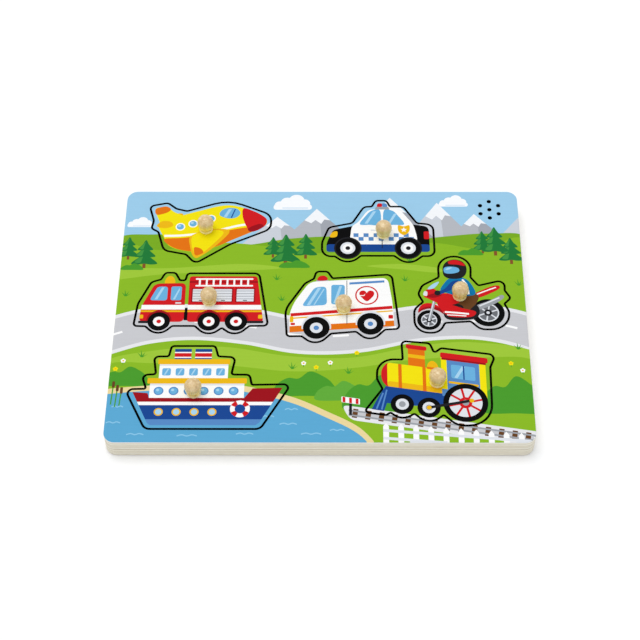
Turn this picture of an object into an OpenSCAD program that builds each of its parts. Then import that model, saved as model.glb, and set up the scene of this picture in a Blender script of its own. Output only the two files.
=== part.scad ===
// Peg puzzle with sound: seven vehicle pieces sawn from the face of a wooden board.
// Millimetres. +X runs to the right, +Y to the back and +Z up. The origin is the middle of the underside.

/* [Board] */
// Width of the board from left to right
board_w = 300; // [285:1:330]
// Depth of the board from front to back
board_d = 225; // [214:1:250]
// Radius of the board's four corners in plan
corner_r = 8; // [5:0.5:14]
// Radius of the sanded outer edges
edge_r = 0.8; // [0.4:0.1:1.5]
// Thickness of the face board, and so of the pieces sawn from it
face_t = 10; // [9:0.5:14]
// Thickness of the base board glued under it
base_t = 8; // [8:0.5:11]
// Width of the base board's rim around the back panel
rim_w = 8; // [6:0.5:10]
// Thickness of the hardboard back panel
panel_t = 2.5; // [2:0.1:3]
// Wood left above the well of the circuit board
floor_t = 2; // [1.6:0.1:2.4]
// Gap between the back panel and the rim around it
panel_gap = 0.3; // [0.1:0.1:0.6]

/* [Saw cut] */
// Width of the saw cut between a piece and the board
kerf = 1.3; // [0.8:0.1:1.7]

/* [Vehicle pieces] */
// Length of the airplane as a share of the picture's width, between the middles of its saw cut
airplane_w_share = 0.307; // [0.289:0.001:0.322]
// Height of the airplane as a share of the picture's width
airplane_h_share = 0.193; // [0.181:0.001:0.203]
// Length of the police car as a share of the picture's width
police_car_w_share = 0.282; // [0.265:0.001:0.296]
// Height of the police car as a share of the picture's width
police_car_h_share = 0.197; // [0.185:0.001:0.207]
// Length of the fire engine as a share of the picture's width
fire_engine_w_share = 0.323; // [0.304:0.001:0.339]
// Height of the fire engine as a share of the picture's width
fire_engine_h_share = 0.181; // [0.17:0.001:0.19]
// Length of the ambulance as a share of the picture's width
ambulance_w_share = 0.274; // [0.258:0.001:0.288]
// Height of the ambulance as a share of the picture's width
ambulance_h_share = 0.212; // [0.199:0.001:0.223]
// Length of the motorcycle as a share of the picture's width
motorcycle_w_share = 0.234; // [0.22:0.001:0.246]
// Height of the motorcycle with its rider as a share of the picture's width
motorcycle_h_share = 0.231; // [0.217:0.001:0.243]
// Length of the ship as a share of the picture's width
ship_w_share = 0.375; // [0.352:0.001:0.394]
// Height of the ship as a share of the picture's width
ship_h_share = 0.232; // [0.218:0.001:0.244]
// Length of the train engine as a share of the picture's width
train_w_share = 0.305; // [0.287:0.001:0.32]
// Height of the train engine as a share of the picture's width
train_h_share = 0.236; // [0.222:0.001:0.248]

/* [Pegs] */
// Height of a peg above the face
peg_h = 14; // [12:0.5:20]
// Diameter of the peg's head at its widest
peg_head_d = 12.2; // [11:0.1:15]
// Height of the widest part of the head
peg_head_z = 8; // [7:0.1:10]
// Diameter of the crease between foot and head
peg_crease_d = 9.6; // [8:0.1:10]
// Height of the crease above the face
peg_crease_z = 2.7; // [2.5:0.1:5]
// Diameter of the foot where it meets the face
peg_foot_d = 10.3; // [9.2:0.1:11]
// Diameter of the tenon glued into the piece
tenon_d = 5; // [4:0.1:7]
// Length of that tenon
tenon_l = 6.5; // [5:0.1:8]

/* [Speaker] */
// Diameter of each sound hole
sound_hole_d = 3; // [2:0.1:4]
// Radius of the ring of sound holes around the middle one
sound_ring_r = 8; // [6.5:0.1:9.5]
// Outer diameter of the speaker
speaker_d = 28; // [26:0.5:30]
// Thickness of the speaker's flange
speaker_flange_t = 1; // [0.6:0.1:1.2]
// Width of the speaker's flange
speaker_flange_w = 2; // [1.5:0.1:2.5]
// Height of the speaker's basket with its flange
basket_h = 2.8; // [2.4:0.1:2.9]
// Sheet thickness of the basket
basket_sheet = 0.5; // [0.3:0.1:0.6]
// Diameter of the magnet under the basket
magnet_d = 16; // [13:0.5:17]
// Height of the magnet
magnet_h = 1.9; // [1.4:0.1:2]
// Thickness of the speaker's cone
cone_t = 0.3; // [0.2:0.05:0.4]

/* [Circuit] */
// Width of the circuit board
pcb_w = 28; // [24:1:30]
// Length of the circuit board
pcb_d = 40; // [34:1:42]
// Thickness of the circuit board
pcb_t = 1.2; // [1:0.1:1.3]
// Distance of the circuit board from the back edge of the back panel
pcb_inset = 4.3; // [4:0.1:8]
// Diameter of the moulded drop over the sound chip
chip_d = 11; // [8:0.5:13]
// Height of that drop
chip_h = 1.3; // [0.8:0.1:1.4]
// Diameter of a light sensor
sensor_d = 5; // [4:0.1:6]
// Thickness of a light sensor
sensor_t = 2.2; // [1.8:0.1:2.3]
// Depth of a sensor's face below the floor of its recess
sensor_sink = 0.6; // [0.4:0.1:0.8]
// Diameter of each insulated wire of a twin lead
wire_d = 1; // [0.8:0.1:1.1]
// Width of the channels cut for the leads
channel_w = 4; // [3.4:0.1:5]

/* [Battery box] */
// Diameter of a cell
cell_d = 10.5; // [10:0.1:11]
// Length of a cell with its nub
cell_l = 44.5; // [43:0.1:45.5]
// Diameter of a cell's nub
nub_d = 3.8; // [3:0.1:4.5]
// Length of that nub
nub_l = 1; // [0.8:0.1:1.4]
// Wall of the battery box
box_wall = 1.6; // [1.4:0.1:1.8]
// Thickness of the battery door
door_t = 1.2; // [1:0.1:1.6]
// Depth of the box and its door inside the underside of the board
door_sink = 0.3; // [0.2:0.1:0.5]
// Length of the solid end of the box that takes the door's screw
box_end_l = 9.4; // [9:0.1:11]
// Wall of the door's cup around the head of its screw
cup_wall = 0.8; // [0.6:0.1:1]
// Width of the box's flange, which the back panel clamps
flange_w = 2.5; // [2:0.1:3]
// Thickness of that flange
flange_t = 1.2; // [1:0.1:1.6]
// Reach of a contact from the end of the box to its cell
contact_reach = 3; // [2.4:0.1:3.5]
// Sheet thickness of a contact
contact_t = 0.4; // [0.3:0.05:0.5]

/* [Screws] */
// Shank diameter of a back panel screw
panel_screw_d = 2.8; // [2.4:0.1:3.2]
// Head diameter of a back panel screw
panel_screw_head_d = 5.4; // [4.8:0.1:6]
// Length of a back panel screw
panel_screw_l = 7; // [6:0.1:7.5]
// Shank diameter of the small screws of the circuit board and the battery door
small_screw_d = 2; // [1.6:0.1:2.2]
// Head diameter of those small screws
small_screw_head_d = 4; // [3.4:0.1:4.2]
// Head height of those small screws
small_screw_head_h = 1.2; // [0.8:0.1:1.4]
// Length of their shanks
small_screw_l = 5; // [4:0.1:6]

/* [Hidden] */
$fn = 64;
// Overrun of every cut past the face it opens
over = 1;
// Room around a piece that is pushed or glued into another
fit = 0.1;
// Room around a piece that lies loosely in a pocket
loose = 0.4;
// Largest turn between two neighbouring points of a sawn arc, in degrees
arc_step = 12;
// Points along each stretch of a peg's profile
peg_steps = 10;
// Sides of a round edge on the boards
edge_fn = 32;
// Sides of the flat drop's large circle
drop_fn = 360;

// Width of the picture: pieces keep their proportions on a board of any other shape
picture_ratio = 4 / 3;
picture_w = min(board_w, picture_ratio * board_d);

// Places on the board, as shares of its width and depth
airplane_at_shares = [-0.284, 0.327];
police_car_at_shares = [0.142, 0.326];
fire_engine_at_shares = [-0.291, 0.028];
ambulance_at_shares = [0.051, 0.013];
motorcycle_at_shares = [0.344, 0.063];
ship_at_shares = [-0.264, -0.298];
train_at_shares = [0.261, -0.282];
speaker_at_shares = [0.427, 0.419];
pcb_x_share = -0.063;
battery_at_shares = [-0.01, -0.209];
panel_screw_shares = [
    [-0.47, -0.45], [-0.2, -0.46], [0.2, -0.46], [0.47, -0.45],
    [-0.47, 0], [0.47, 0.2], [-0.47, 0.45], [-0.16, 0.46], [0.2, 0.46]
];

// Places on a piece, as shares of its own length and height from its middle
airplane_peg_shares = [-0.028, 0.026];
police_car_peg_shares = [0.048, -0.054];
fire_engine_peg_shares = [0.055, 0.022];
ambulance_peg_shares = [0.015, -0.037];
motorcycle_peg_shares = [-0.018, -0.025];
ship_peg_shares = [-0.088, -0.071];
train_peg_shares = [0.048, 0.006];
sensor_shares = [0, -0.08];

// Corners of the saw lines, clockwise. Each has its share of the piece's length and of its height, from the
// lower left, and its radius as a share of the height.
airplane_line_shares = [
    [-0.01, 0.915, 0.06], [0.14, 0.97, 0.07], [0.215, 0.87, 0.1], [0.305, 0.83, 0.08],
    [0.645, 1.02, 0.5], [1.005, 0.77, 0.16], [1.005, 0.53, 0.15], [0.675, 0.275, 0.25],
    [0.4, -0.04, 0.08], [0.32, 0.11, 0.07], [0.135, 0.175, 0.12], [0.08, 0.48, 0.05],
    [0.02, 0.54, 0.05], [0.035, 0.665, 0.12]
];
police_car_line_shares = [
    [0, 0.09, 0.12], [0, 0.32, 0.2], [0.06, 0.56, 0.08], [0.27, 0.63, 0.08],
    [0.375, 0.9, 0.08], [0.447, 0.905, 0.03], [0.483, 1.005, 0.055], [0.58, 1.005, 0.055],
    [0.61, 0.905, 0.03], [0.73, 0.905, 0.09], [0.85, 0.63, 0.06], [0.995, 0.605, 0.1],
    [1, 0.095, 0.09], [0.89, 0.095, 0.04], [0.767, -0.055, 0.17], [0.64, 0.1, 0.04],
    [0.345, 0.1, 0.04], [0.232, -0.05, 0.17], [0.116, 0.09, 0.04]
];
fire_engine_line_shares = [
    [-0.005, 0.115, 0.045], [0.015, 0.48, 0.2], [0.103, 0.845, 0.09], [0.175, 0.89, 0.03],
    [0.205, 1.005, 0.06], [0.283, 1.005, 0.06], [0.32, 0.875, 0.03], [0.362, 0.875, 0.03],
    [0.375, 0.995, 0.05], [0.925, 0.995, 0.08], [1.005, 0.12, 0.055], [0.864, 0.115, 0.045],
    [0.761, -0.065, 0.17], [0.66, 0.085, 0.025], [0.557, -0.065, 0.17], [0.456, 0.115, 0.045],
    [0.287, 0.115, 0.045], [0.185, -0.065, 0.17], [0.085, 0.11, 0.045]
];
ambulance_line_shares = [
    [0.015, 0.082, 0.04], [-0.005, 0.457, 0.28], [0.167, 0.83, 0.12], [0.247, 0.898, 0.03],
    [0.269, 1.003, 0.05], [0.371, 1.003, 0.05], [0.415, 0.904, 0.025], [0.95, 0.962, 0.07],
    [1.008, 0.186, 0.045], [0.88, 0.176, 0.04], [0.752, 0, 0.135], [0.624, 0.147, 0.04],
    [0.405, 0.12, 0.04], [0.273, -0.057, 0.15], [0.145, 0.084, 0.04]
];
motorcycle_line_shares = [
    [0, 0, 0.15], [0, 0.3, 0.12], [0.096, 0.397, 0.02], [0.047, 0.5, 0.07],
    [0.091, 0.613, 0.1], [0.27, 0.723, 0.03], [0.267, 1.003, 0.17], [0.622, 1.003, 0.17],
    [0.606, 0.723, 0.035], [0.683, 0.613, 0.03], [0.962, 0.69, 0.065], [0.958, 0.547, 0.02],
    [1.015, 0.449, 0.04], [0.945, 0.374, 0.018], [0.987, 0.275, 0.1], [0.985, 0.043, 0.2],
    [0.68, 0.043, 0.13], [0.583, 0.146, 0.03], [0.316, 0.126, 0.03], [0.256, 0, 0.13]
];
ship_line_shares = [
    [0.122, 0, 0.085], [-0.022, 0.47, 0.055], [0.111, 0.475, 0.018], [0.076, 0.643, 0.05],
    [0.166, 0.652, 0.025], [0.145, 0.869, 0.045], [0.239, 0.871, 0.025], [0.253, 1, 0.035],
    [0.532, 1, 0.04], [0.553, 0.872, 0.025], [0.664, 0.86, 0.05], [0.642, 0.649, 0.025],
    [0.758, 0.646, 0.045], [0.774, 0.524, 0.022], [1.022, 0.532, 0.045], [0.836, 0, 0.085]
];
train_line_shares = [
    [-0.02, 0.154, 0.03], [0.125, 0.426, 0.02], [0.084, 0.542, 0.08], [0.087, 0.783, 0.165],
    [0.287, 0.777, 0.015], [0.28, 1.004, 0.045], [0.502, 0.977, 0.05], [0.534, 0.857, 0.022],
    [0.59, 0.917, 0.045], [1.015, 0.835, 0.055], [0.967, 0.686, 0.04], [0.958, 0, 0.24],
    [0.69, 0, 0.17], [0.589, 0.123, 0.02], [0.479, 0.003, 0.15], [0.365, 0.138, 0.025],
    [0.274, 0.054, 0.135], [0.183, 0.15, 0.02], [0.151, 0.119, 0.03]
];

// Levels above the underside
top_z = base_t + face_t;
well_z = base_t - floor_t;
pcb_z = well_z - pcb_t;
lead_z = pcb_z - fit - wire_d / 2;
channel_z = lead_z + wire_d / 2 + loose;
sensor_z = base_t - sensor_sink - sensor_t;
basket_z = base_t - basket_h;

// Sizes of the panel and of the battery box
panel_w = board_w - 2 * rim_w - 2 * panel_gap;
panel_d = board_d - 2 * rim_w - 2 * panel_gap;
cell_room_w = 2 * cell_d + 3 * loose;
cell_room_l = cell_l + 2 * contact_reach + loose;
cell_z = door_sink + door_t + 2 * fit + cell_d / 2;
box_w = cell_room_w + 2 * box_wall;
box_l = box_wall + cell_room_l + box_end_l;
box_top_z = cell_z + cell_d / 2 + fit + box_wall;
cell_x = (cell_d + loose) / 2;
cell_room_y = -box_l / 2 + box_wall;
ledge_w = box_wall / 2;
door_w = cell_room_w + 2 * ledge_w - 2 * fit;
door_l = box_l - 2 * ledge_w - 2 * fit;
door_screw_y = (box_l - box_end_l) / 2;
cup_d = small_screw_head_d + 2 * loose + 2 * cup_wall;
cup_z = door_sink + small_screw_head_h + loose + door_t;

// Radii of the speaker from its axis
rim_r = speaker_d / 2;
mouth_r = rim_r - speaker_flange_w;
yoke_r = magnet_d / 2 + basket_sheet;
tab_r = mouth_r - basket_sheet;
vent_r = magnet_d / 4;

// Places of everything that is set out on the board
speaker_at = on_board(speaker_at_shares);
pcb_at = [pcb_x_share * board_w, (panel_d - pcb_d) / 2 - pcb_inset];
battery_at = on_board(battery_at_shares);
battery_side_at = battery_at + [0, box_w / 2];
lead_inset = 3;

// Saw line, place and peg of each piece
airplane = cut(airplane_line_shares, airplane_w_share, airplane_h_share,
    airplane_at_shares, airplane_peg_shares);
police_car = cut(police_car_line_shares, police_car_w_share, police_car_h_share,
    police_car_at_shares, police_car_peg_shares);
fire_engine = cut(fire_engine_line_shares, fire_engine_w_share, fire_engine_h_share,
    fire_engine_at_shares, fire_engine_peg_shares);
ambulance = cut(ambulance_line_shares, ambulance_w_share, ambulance_h_share,
    ambulance_at_shares, ambulance_peg_shares);
motorcycle = cut(motorcycle_line_shares, motorcycle_w_share, motorcycle_h_share,
    motorcycle_at_shares, motorcycle_peg_shares);
ship = cut(ship_line_shares, ship_w_share, ship_h_share,
    ship_at_shares, ship_peg_shares);
train = cut(train_line_shares, train_w_share, train_h_share,
    train_at_shares, train_peg_shares);
PIECES = [airplane, police_car, fire_engine, ambulance, motorcycle, ship, train];

// Place on the board from shares of its width and depth
function on_board(shares) = [shares[0] * board_w, shares[1] * board_d];

// Parts of a piece's record
function line_of(piece) = piece[0];
function peg_of(piece) = piece[1];
function sensor_of(piece) = piece[2];

// Record of one piece: the corners of its saw line on the board, its peg and its sensor
function cut(line_shares, w_share, h_share, at_shares, peg_shares) =
    let (at = on_board(at_shares), length = w_share * picture_w, height = h_share * picture_w)
    [
        [for (s = line_shares) [
            at[0] + (s[0] - 1 / 2) * length,
            at[1] + (s[1] - 1 / 2) * height,
            s[2] * height
        ]],
        at + [peg_shares[0] * length, peg_shares[1] * height],
        at + [sensor_shares[0] * length, sensor_shares[1] * height]
    ];

function unit(v) = v / norm(v);
function plan(corner) = [corner[0], corner[1]];

// Arc that rounds one corner of a clockwise line, with the whole line moved outwards by grow
function corner_arc(line, i, grow) =
    let (
        count = len(line),
        corner = plan(line[i]),
        radius = line[i][2],
        back = unit(plan(line[(i + count - 1) % count]) - corner),
        ahead = unit(plan(line[(i + 1) % count]) - corner),
        half = acos(back * ahead) / 2,
        middle = corner + unit(back + ahead) * radius / sin(half),
        outward = back[0] * ahead[1] - back[1] * ahead[0] > 0 ? 1 : -1,
        reach = radius + outward * grow,
        spoke = corner + back * radius / tan(half) - middle,
        start = atan2(spoke[1], spoke[0]),
        turn = 180 - 2 * half,
        steps = max(1, ceil(turn / arc_step))
    )
    [for (k = [0:steps]) let (a = start - outward * turn * k / steps) middle + reach * [cos(a), sin(a)]];

// Outline of a saw line moved outwards by grow
function outline(line, grow) = [for (i = [0:len(line) - 1]) each corner_arc(line, i, grow)];

// Half profile of a peg with its tenon, from the axis outwards
function peg_profile() = [
    [0, -tenon_l],
    [tenon_d / 2, -tenon_l],
    [tenon_d / 2, 0],
    for (k = [0:peg_steps]) let (s = k / peg_steps)
        [peg_crease_d / 2 + (peg_foot_d - peg_crease_d) / 2 * cos(90 * s), peg_crease_z * s],
    for (k = [1:peg_steps]) let (s = 1 - k / peg_steps)
        [
            peg_head_d / 2 - (peg_head_d - peg_crease_d) / 2 * s * s,
            peg_head_z - (peg_head_z - peg_crease_z) * s
        ],
    for (k = [1:peg_steps]) let (a = 90 * k / peg_steps)
        [peg_head_d / 2 * cos(a), peg_head_z + (peg_h - peg_head_z) * sin(a)]
];

// Round corner post of a board, with a sanded lower or upper edge
module corner_post(height, round_top) {
    edge_z = round_top ? height - edge_r : edge_r;
    plain_z = round_top ? 0 : edge_r;
    rotate_extrude($fn = edge_fn) {
        square([corner_r - edge_r, height]);
        translate([0, plain_z]) square([corner_r, height - edge_r]);
        intersection() {
            translate([corner_r - edge_r, edge_z]) circle(edge_r, $fn = edge_fn);
            square([corner_r, height]);
        }
    }
}

// Board of the full outline, with a sanded lower or upper edge
module board_blank(height, round_top) {
    hull() for (x = [-1, 1], y = [-1, 1])
        translate([x * (board_w / 2 - corner_r), y * (board_d / 2 - corner_r), 0])
            corner_post(height, round_top);
}

// Upright block centred on its place in plan
module block(size, at, z) {
    translate([at[0] - size[0] / 2, at[1] - size[1] / 2, z]) cube(size);
}

// Children laid out along +X from one place towards another
module towards(from, to) {
    translate(from) rotate(atan2(to[1] - from[1], to[0] - from[0])) children();
}

// Countersunk screw that points up, with the flat of its head at zero
module panel_screw(gap) {
    sink_h = (panel_screw_head_d - panel_screw_d) / 2;
    cylinder(h = sink_h, d1 = panel_screw_head_d + 2 * gap, d2 = panel_screw_d + 2 * gap);
    cylinder(h = panel_screw_l + gap, d = panel_screw_d + 2 * gap);
}

module at_panel_screws() {
    for (s = panel_screw_shares) translate([s[0] * panel_w, s[1] * panel_d, 0]) children();
}

// Pan head screw that points up, with the seat of its head at zero
module small_screw() {
    slot_w = small_screw_head_d / 5;
    slot_h = small_screw_head_h / 2;
    difference() {
        union() {
            translate([0, 0, -small_screw_head_h]) cylinder(h = small_screw_head_h, d = small_screw_head_d);
            cylinder(h = small_screw_l, d = small_screw_d);
        }
        for (a = [0, 90]) rotate(a)
            translate([-small_screw_head_d / 3, -slot_w / 2, -small_screw_head_h - over])
                cube([2 * small_screw_head_d / 3, slot_w, slot_h + over]);
    }
}

// Bore for the shank of a small screw
module small_screw_bore() {
    cylinder(h = small_screw_l + loose, d = small_screw_d + 2 * fit);
}

module at_circuit_screws() {
    screw_x = pcb_w / 2 - small_screw_head_d;
    screw_y = pcb_d / 2 - small_screw_head_d;
    for (x = [-1, 1]) translate([pcb_at[0] + x * screw_x, pcb_at[1] + screw_y, 0]) children();
}

// Children drawn along +Y and laid along the board, in the place of the battery box
module at_battery() {
    translate([battery_at[0], battery_at[1], 0]) rotate(90) children();
}

// Room that the battery box needs above the back panel
module battery_room() {
    room_h = box_top_z + fit - panel_t;
    at_battery() block([box_w + 2 * fit, box_l + 2 * fit, room_h + over], [0, 0], panel_t - over);
}

// Face board, open at the seven saw lines and the sound holes
module face_board() {
    color("yellowgreen") difference() {
        translate([0, 0, base_t]) board_blank(face_t, true);
        for (piece = PIECES) translate([0, 0, base_t - over])
            linear_extrude(face_t + 2 * over) polygon(outline(line_of(piece), kerf / 2));
        translate([speaker_at[0], speaker_at[1], base_t - over]) {
            cylinder(h = face_t + 2 * over, d = sound_hole_d);
            for (a = [30:60:330]) rotate(a) translate([sound_ring_r, 0, 0])
                cylinder(h = face_t + 2 * over, d = sound_hole_d);
        }
        battery_room();
        at_circuit_screws() translate([0, 0, pcb_z]) small_screw_bore();
    }
}

// Base board: floor of the recesses, with the wells and channels cut from below
module base_board() {
    color("wheat") difference() {
        board_blank(base_t, false);
        block([panel_w + 2 * panel_gap, panel_d + 2 * panel_gap, panel_t + over], [0, 0], -over);
        speaker_well();
        block([pcb_w + 2 * loose, pcb_d + 2 * loose, well_z - panel_t + over], pcb_at, panel_t - over);
        at_circuit_screws() translate([0, 0, pcb_z]) small_screw_bore();
        battery_room();
        at_battery() block(
            [box_w + 2 * flange_w + 2 * fit, box_l + 2 * flange_w + 2 * fit, flange_t + fit + over],
            [0, 0], panel_t - over
        );
        for (piece = PIECES) {
            channel(sensor_of(piece), sensor_d / 2);
            translate([sensor_of(piece)[0], sensor_of(piece)[1], panel_t])
                cylinder(h = base_t - panel_t + over, d = sensor_d + 2 * fit);
        }
        channel(speaker_at, 0);
        channel(battery_side_at, channel_w);
        at_panel_screws() panel_screw(fit);
    }
}

// Channel from the circuit board to a place and a little past it
module channel(to, past) {
    towards(pcb_at, to) translate([0, -channel_w / 2, panel_t - over])
        cube([norm(to - pcb_at) + past, channel_w, channel_z - panel_t + over]);
}

// Stepped well that traps the speaker's flange under the face board
module speaker_well() {
    translate([speaker_at[0], speaker_at[1], 0]) {
        translate([0, 0, base_t - speaker_flange_t - fit])
            cylinder(h = speaker_flange_t + fit + over, d = speaker_d + 2 * fit);
        translate([0, 0, panel_t]) cylinder(h = base_t - panel_t, d = speaker_d - speaker_flange_w);
    }
}

// Back panel with its opening for the battery box
module back_panel() {
    color("peru") difference() {
        block([panel_w, panel_d, panel_t], [0, 0], 0);
        at_battery() block([box_w + 2 * fit, box_l + 2 * fit, panel_t + 2 * over], [0, 0], -over);
        at_panel_screws() {
            panel_screw(fit);
            translate([0, 0, -over]) cylinder(h = over + fit, d = panel_screw_head_d + 2 * fit);
        }
    }
}

module panel_screws() {
    slot_w = panel_screw_head_d / 6;
    slot_h = panel_screw_head_d / 6;
    color("silver") at_panel_screws() difference() {
        translate([0, 0, fit]) panel_screw(0);
        for (a = [0, 90]) rotate(a)
            translate([-panel_screw_head_d / 4, -slot_w / 2, -over])
                cube([panel_screw_head_d / 2, slot_w, slot_h + over]);
    }
}

// Piece inside its saw line, with the bore for its peg's tenon
module vehicle_piece(piece) {
    difference() {
        translate([0, 0, base_t]) linear_extrude(face_t) polygon(outline(line_of(piece), -kerf / 2));
        translate([peg_of(piece)[0], peg_of(piece)[1], top_z - tenon_l - loose])
            cylinder(h = tenon_l + loose + over, d = tenon_d + 2 * fit);
    }
}

module airplane_piece() {
    color("gold") vehicle_piece(airplane);
}

module police_car_piece() {
    color("white") vehicle_piece(police_car);
}

module fire_engine_piece() {
    color("firebrick") vehicle_piece(fire_engine);
}

module ambulance_piece() {
    color("whitesmoke") vehicle_piece(ambulance);
}

module motorcycle_piece() {
    color("crimson") vehicle_piece(motorcycle);
}

module ship_piece() {
    color("navy") vehicle_piece(ship);
}

module train_piece() {
    color("orange") vehicle_piece(train);
}

// Turned peg on its piece
module peg(piece) {
    color("burlywood") translate([peg_of(piece)[0], peg_of(piece)[1], top_z])
        rotate_extrude() polygon(peg_profile());
}

module airplane_peg() {
    peg(airplane);
}

module police_car_peg() {
    peg(police_car);
}

module fire_engine_peg() {
    peg(fire_engine);
}

module ambulance_peg() {
    peg(ambulance);
}

module motorcycle_peg() {
    peg(motorcycle);
}

module ship_peg() {
    peg(ship);
}

module train_peg() {
    peg(train);
}

// Pressed basket with its flange under the face board, and the tab that takes the lead
module speaker_basket() {
    under_flange = basket_h - speaker_flange_t;
    color("dimgray") translate([speaker_at[0], speaker_at[1], basket_z]) {
        rotate_extrude() polygon([
            [vent_r, 0], [yoke_r, 0], [mouth_r + basket_sheet / 2, under_flange], [rim_r, under_flange],
            [rim_r, basket_h], [mouth_r, basket_h], [mouth_r, under_flange + basket_sheet],
            [yoke_r - basket_sheet / 2, basket_sheet], [vent_r, basket_sheet]
        ]);
        towards([0, 0], pcb_at - speaker_at)
            translate([magnet_d / 2 + fit, -channel_w / 3, pcb_z - basket_z])
                cube([tab_r - magnet_d / 2 - fit, 2 * channel_w / 3, basket_z + basket_sheet - pcb_z]);
    }
}

module speaker_magnet() {
    color("silver") translate([speaker_at[0], speaker_at[1], basket_z - magnet_h])
        cylinder(h = magnet_h, d = magnet_d);
}

// Thin cone with a domed middle, hung in the mouth of the basket
module speaker_cone() {
    cone_r = mouth_r - fit;
    coil_r = magnet_d / 3;
    rise = basket_h - speaker_flange_t / 2;
    dip = basket_sheet + fit;
    dome = (rise + dip) / 2;
    color("black") translate([speaker_at[0], speaker_at[1], basket_z]) rotate_extrude() polygon([
        [0, dome], [coil_r / 2, (dome + dip) / 2 + cone_t / 2], [coil_r, dip], [cone_r, rise],
        [cone_r, rise + cone_t], [coil_r, dip + cone_t], [coil_r / 2, (dome + dip) / 2 + 3 * cone_t / 2],
        [0, dome + cone_t]
    ]);
}

module circuit_board() {
    color("seagreen") difference() {
        block([pcb_w, pcb_d, pcb_t], pcb_at, pcb_z);
        at_circuit_screws() translate([0, 0, pcb_z - over])
            cylinder(h = pcb_t + 2 * over, d = small_screw_d + 2 * fit);
    }
}

// Drop of black resin over the sound chip, under the circuit board
module sound_chip() {
    drop_r = (chip_d * chip_d / 4 + chip_h * chip_h) / (2 * chip_h);
    color("black") translate([pcb_at[0], pcb_at[1], pcb_z]) rotate_extrude() intersection() {
        translate([0, drop_r - chip_h]) circle(drop_r, $fn = drop_fn);
        translate([0, -chip_h]) square([chip_d / 2, chip_h]);
    }
}

module circuit_screws() {
    color("silver") at_circuit_screws() translate([0, 0, pcb_z]) small_screw();
}

// Light sensors, each with two legs down to its lead
module light_sensors() {
    leg_d = wire_d / 2;
    color("tan") for (piece = PIECES) translate([sensor_of(piece)[0], sensor_of(piece)[1], 0]) {
        translate([0, 0, sensor_z]) cylinder(h = sensor_t, d = sensor_d);
        for (x = [-1, 1]) translate([x * wire_d, 0, pcb_z])
            cylinder(h = sensor_z + fit - pcb_z, d = leg_d);
    }
}

// Twin lead from under the edge of the circuit board to a place, stopped short of it
module twin_lead(to, short) {
    way = unit(to - pcb_at);
    edge = min(pcb_w / 2 / abs(way[0]), pcb_d / 2 / abs(way[1]));
    run = norm(to - pcb_at) - short - edge + lead_inset;
    towards(pcb_at, to) translate([edge - lead_inset, 0, lead_z]) rotate([0, 90, 0]) linear_extrude(run)
        for (y = [-1, 1]) translate([0, y * 2 * wire_d / 5]) circle(d = wire_d);
}

module sensor_leads() {
    color("red") for (piece = PIECES) twin_lead(sensor_of(piece), 0);
}

module speaker_lead() {
    color("yellow") twin_lead(speaker_at, magnet_d / 2 + fit);
}

module battery_lead() {
    color("red") twin_lead(battery_side_at, flange_w + loose);
}

// Battery box: a shell open below, with a solid end for the screw and a flange above the back panel
module battery_box() {
    color("gray") at_battery() difference() {
        union() {
            block([box_w, box_l, box_top_z - door_sink], [0, 0], door_sink);
            block([box_w + 2 * flange_w, box_l + 2 * flange_w, flange_t], [0, 0], panel_t);
        }
        translate([-cell_room_w / 2, cell_room_y, -over])
            cube([cell_room_w, cell_room_l, box_top_z - box_wall + over]);
        block([door_w + 2 * fit, door_l + 2 * fit, door_sink + door_t + fit + over], [0, 0], -over);
        translate([0, door_screw_y, 0]) cylinder(h = cup_z + fit, d = cup_d + 2 * fit);
        translate([0, door_screw_y, cup_z - door_t]) small_screw_bore();
    }
}

// Contact plate against the end of the box, with a bowed spring that reaches to the cell
module contact(w) {
    translate([-w / 2, 0, -cell_d / 3]) cube([w, contact_t, 2 * cell_d / 3]);
}

module contact_bow() {
    bow_r = contact_reach - contact_t;
    translate([0, contact_t, -cell_d / 6]) linear_extrude(cell_d / 3) intersection() {
        difference() {
            circle(bow_r);
            circle(bow_r - contact_t);
        }
        translate([-bow_r, -contact_t / 2]) square([2 * bow_r, bow_r + contact_t]);
    }
}

// One bridge for both cells at one end, and one contact for each cell at the other
module battery_contacts() {
    color("silver") at_battery() translate([0, cell_room_y, cell_z]) {
        contact(cell_room_w - 2 * loose);
        for (x = [-1, 1]) translate([x * cell_x, 0, 0]) {
            contact_bow();
            translate([0, cell_room_l, 0]) rotate(180) {
                contact(cell_d - 2 * loose);
                contact_bow();
            }
        }
    }
}

// Two cells laid head to tail
module battery_cells() {
    color("darkorange") at_battery() translate([0, cell_room_y + cell_room_l / 2, cell_z])
        for (x = [-1, 1]) translate([x * cell_x, 0, 0])
            rotate([x * 90, 0, 0]) translate([0, 0, -cell_l / 2]) {
                cylinder(h = cell_l - nub_l, d = cell_d);
                cylinder(h = cell_l, d = nub_d);
            }
}

// Door of the battery box, with a cup for the head of its screw
module battery_door() {
    color("gray") at_battery() difference() {
        union() {
            block([door_w, door_l, door_t], [0, 0], door_sink);
            translate([0, door_screw_y, door_sink]) cylinder(h = cup_z - door_sink, d = cup_d);
        }
        translate([0, door_screw_y, -over])
            cylinder(h = cup_z - door_t + over, d = small_screw_head_d + 2 * loose);
        translate([0, door_screw_y, 0]) cylinder(h = cup_z + over, d = small_screw_d + 2 * fit);
    }
}

module door_screw() {
    color("silver") at_battery() translate([0, door_screw_y, cup_z - door_t]) small_screw();
}

face_board();
base_board();
back_panel();
panel_screws();
airplane_piece();
police_car_piece();
fire_engine_piece();
ambulance_piece();
motorcycle_piece();
ship_piece();
train_piece();
airplane_peg();
police_car_peg();
fire_engine_peg();
ambulance_peg();
motorcycle_peg();
ship_peg();
train_peg();
speaker_basket();
speaker_magnet();
speaker_cone();
circuit_board();
sound_chip();
circuit_screws();
light_sensors();
sensor_leads();
speaker_lead();
battery_lead();
battery_box();
battery_contacts();
battery_cells();
battery_door();
door_screw();
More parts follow.
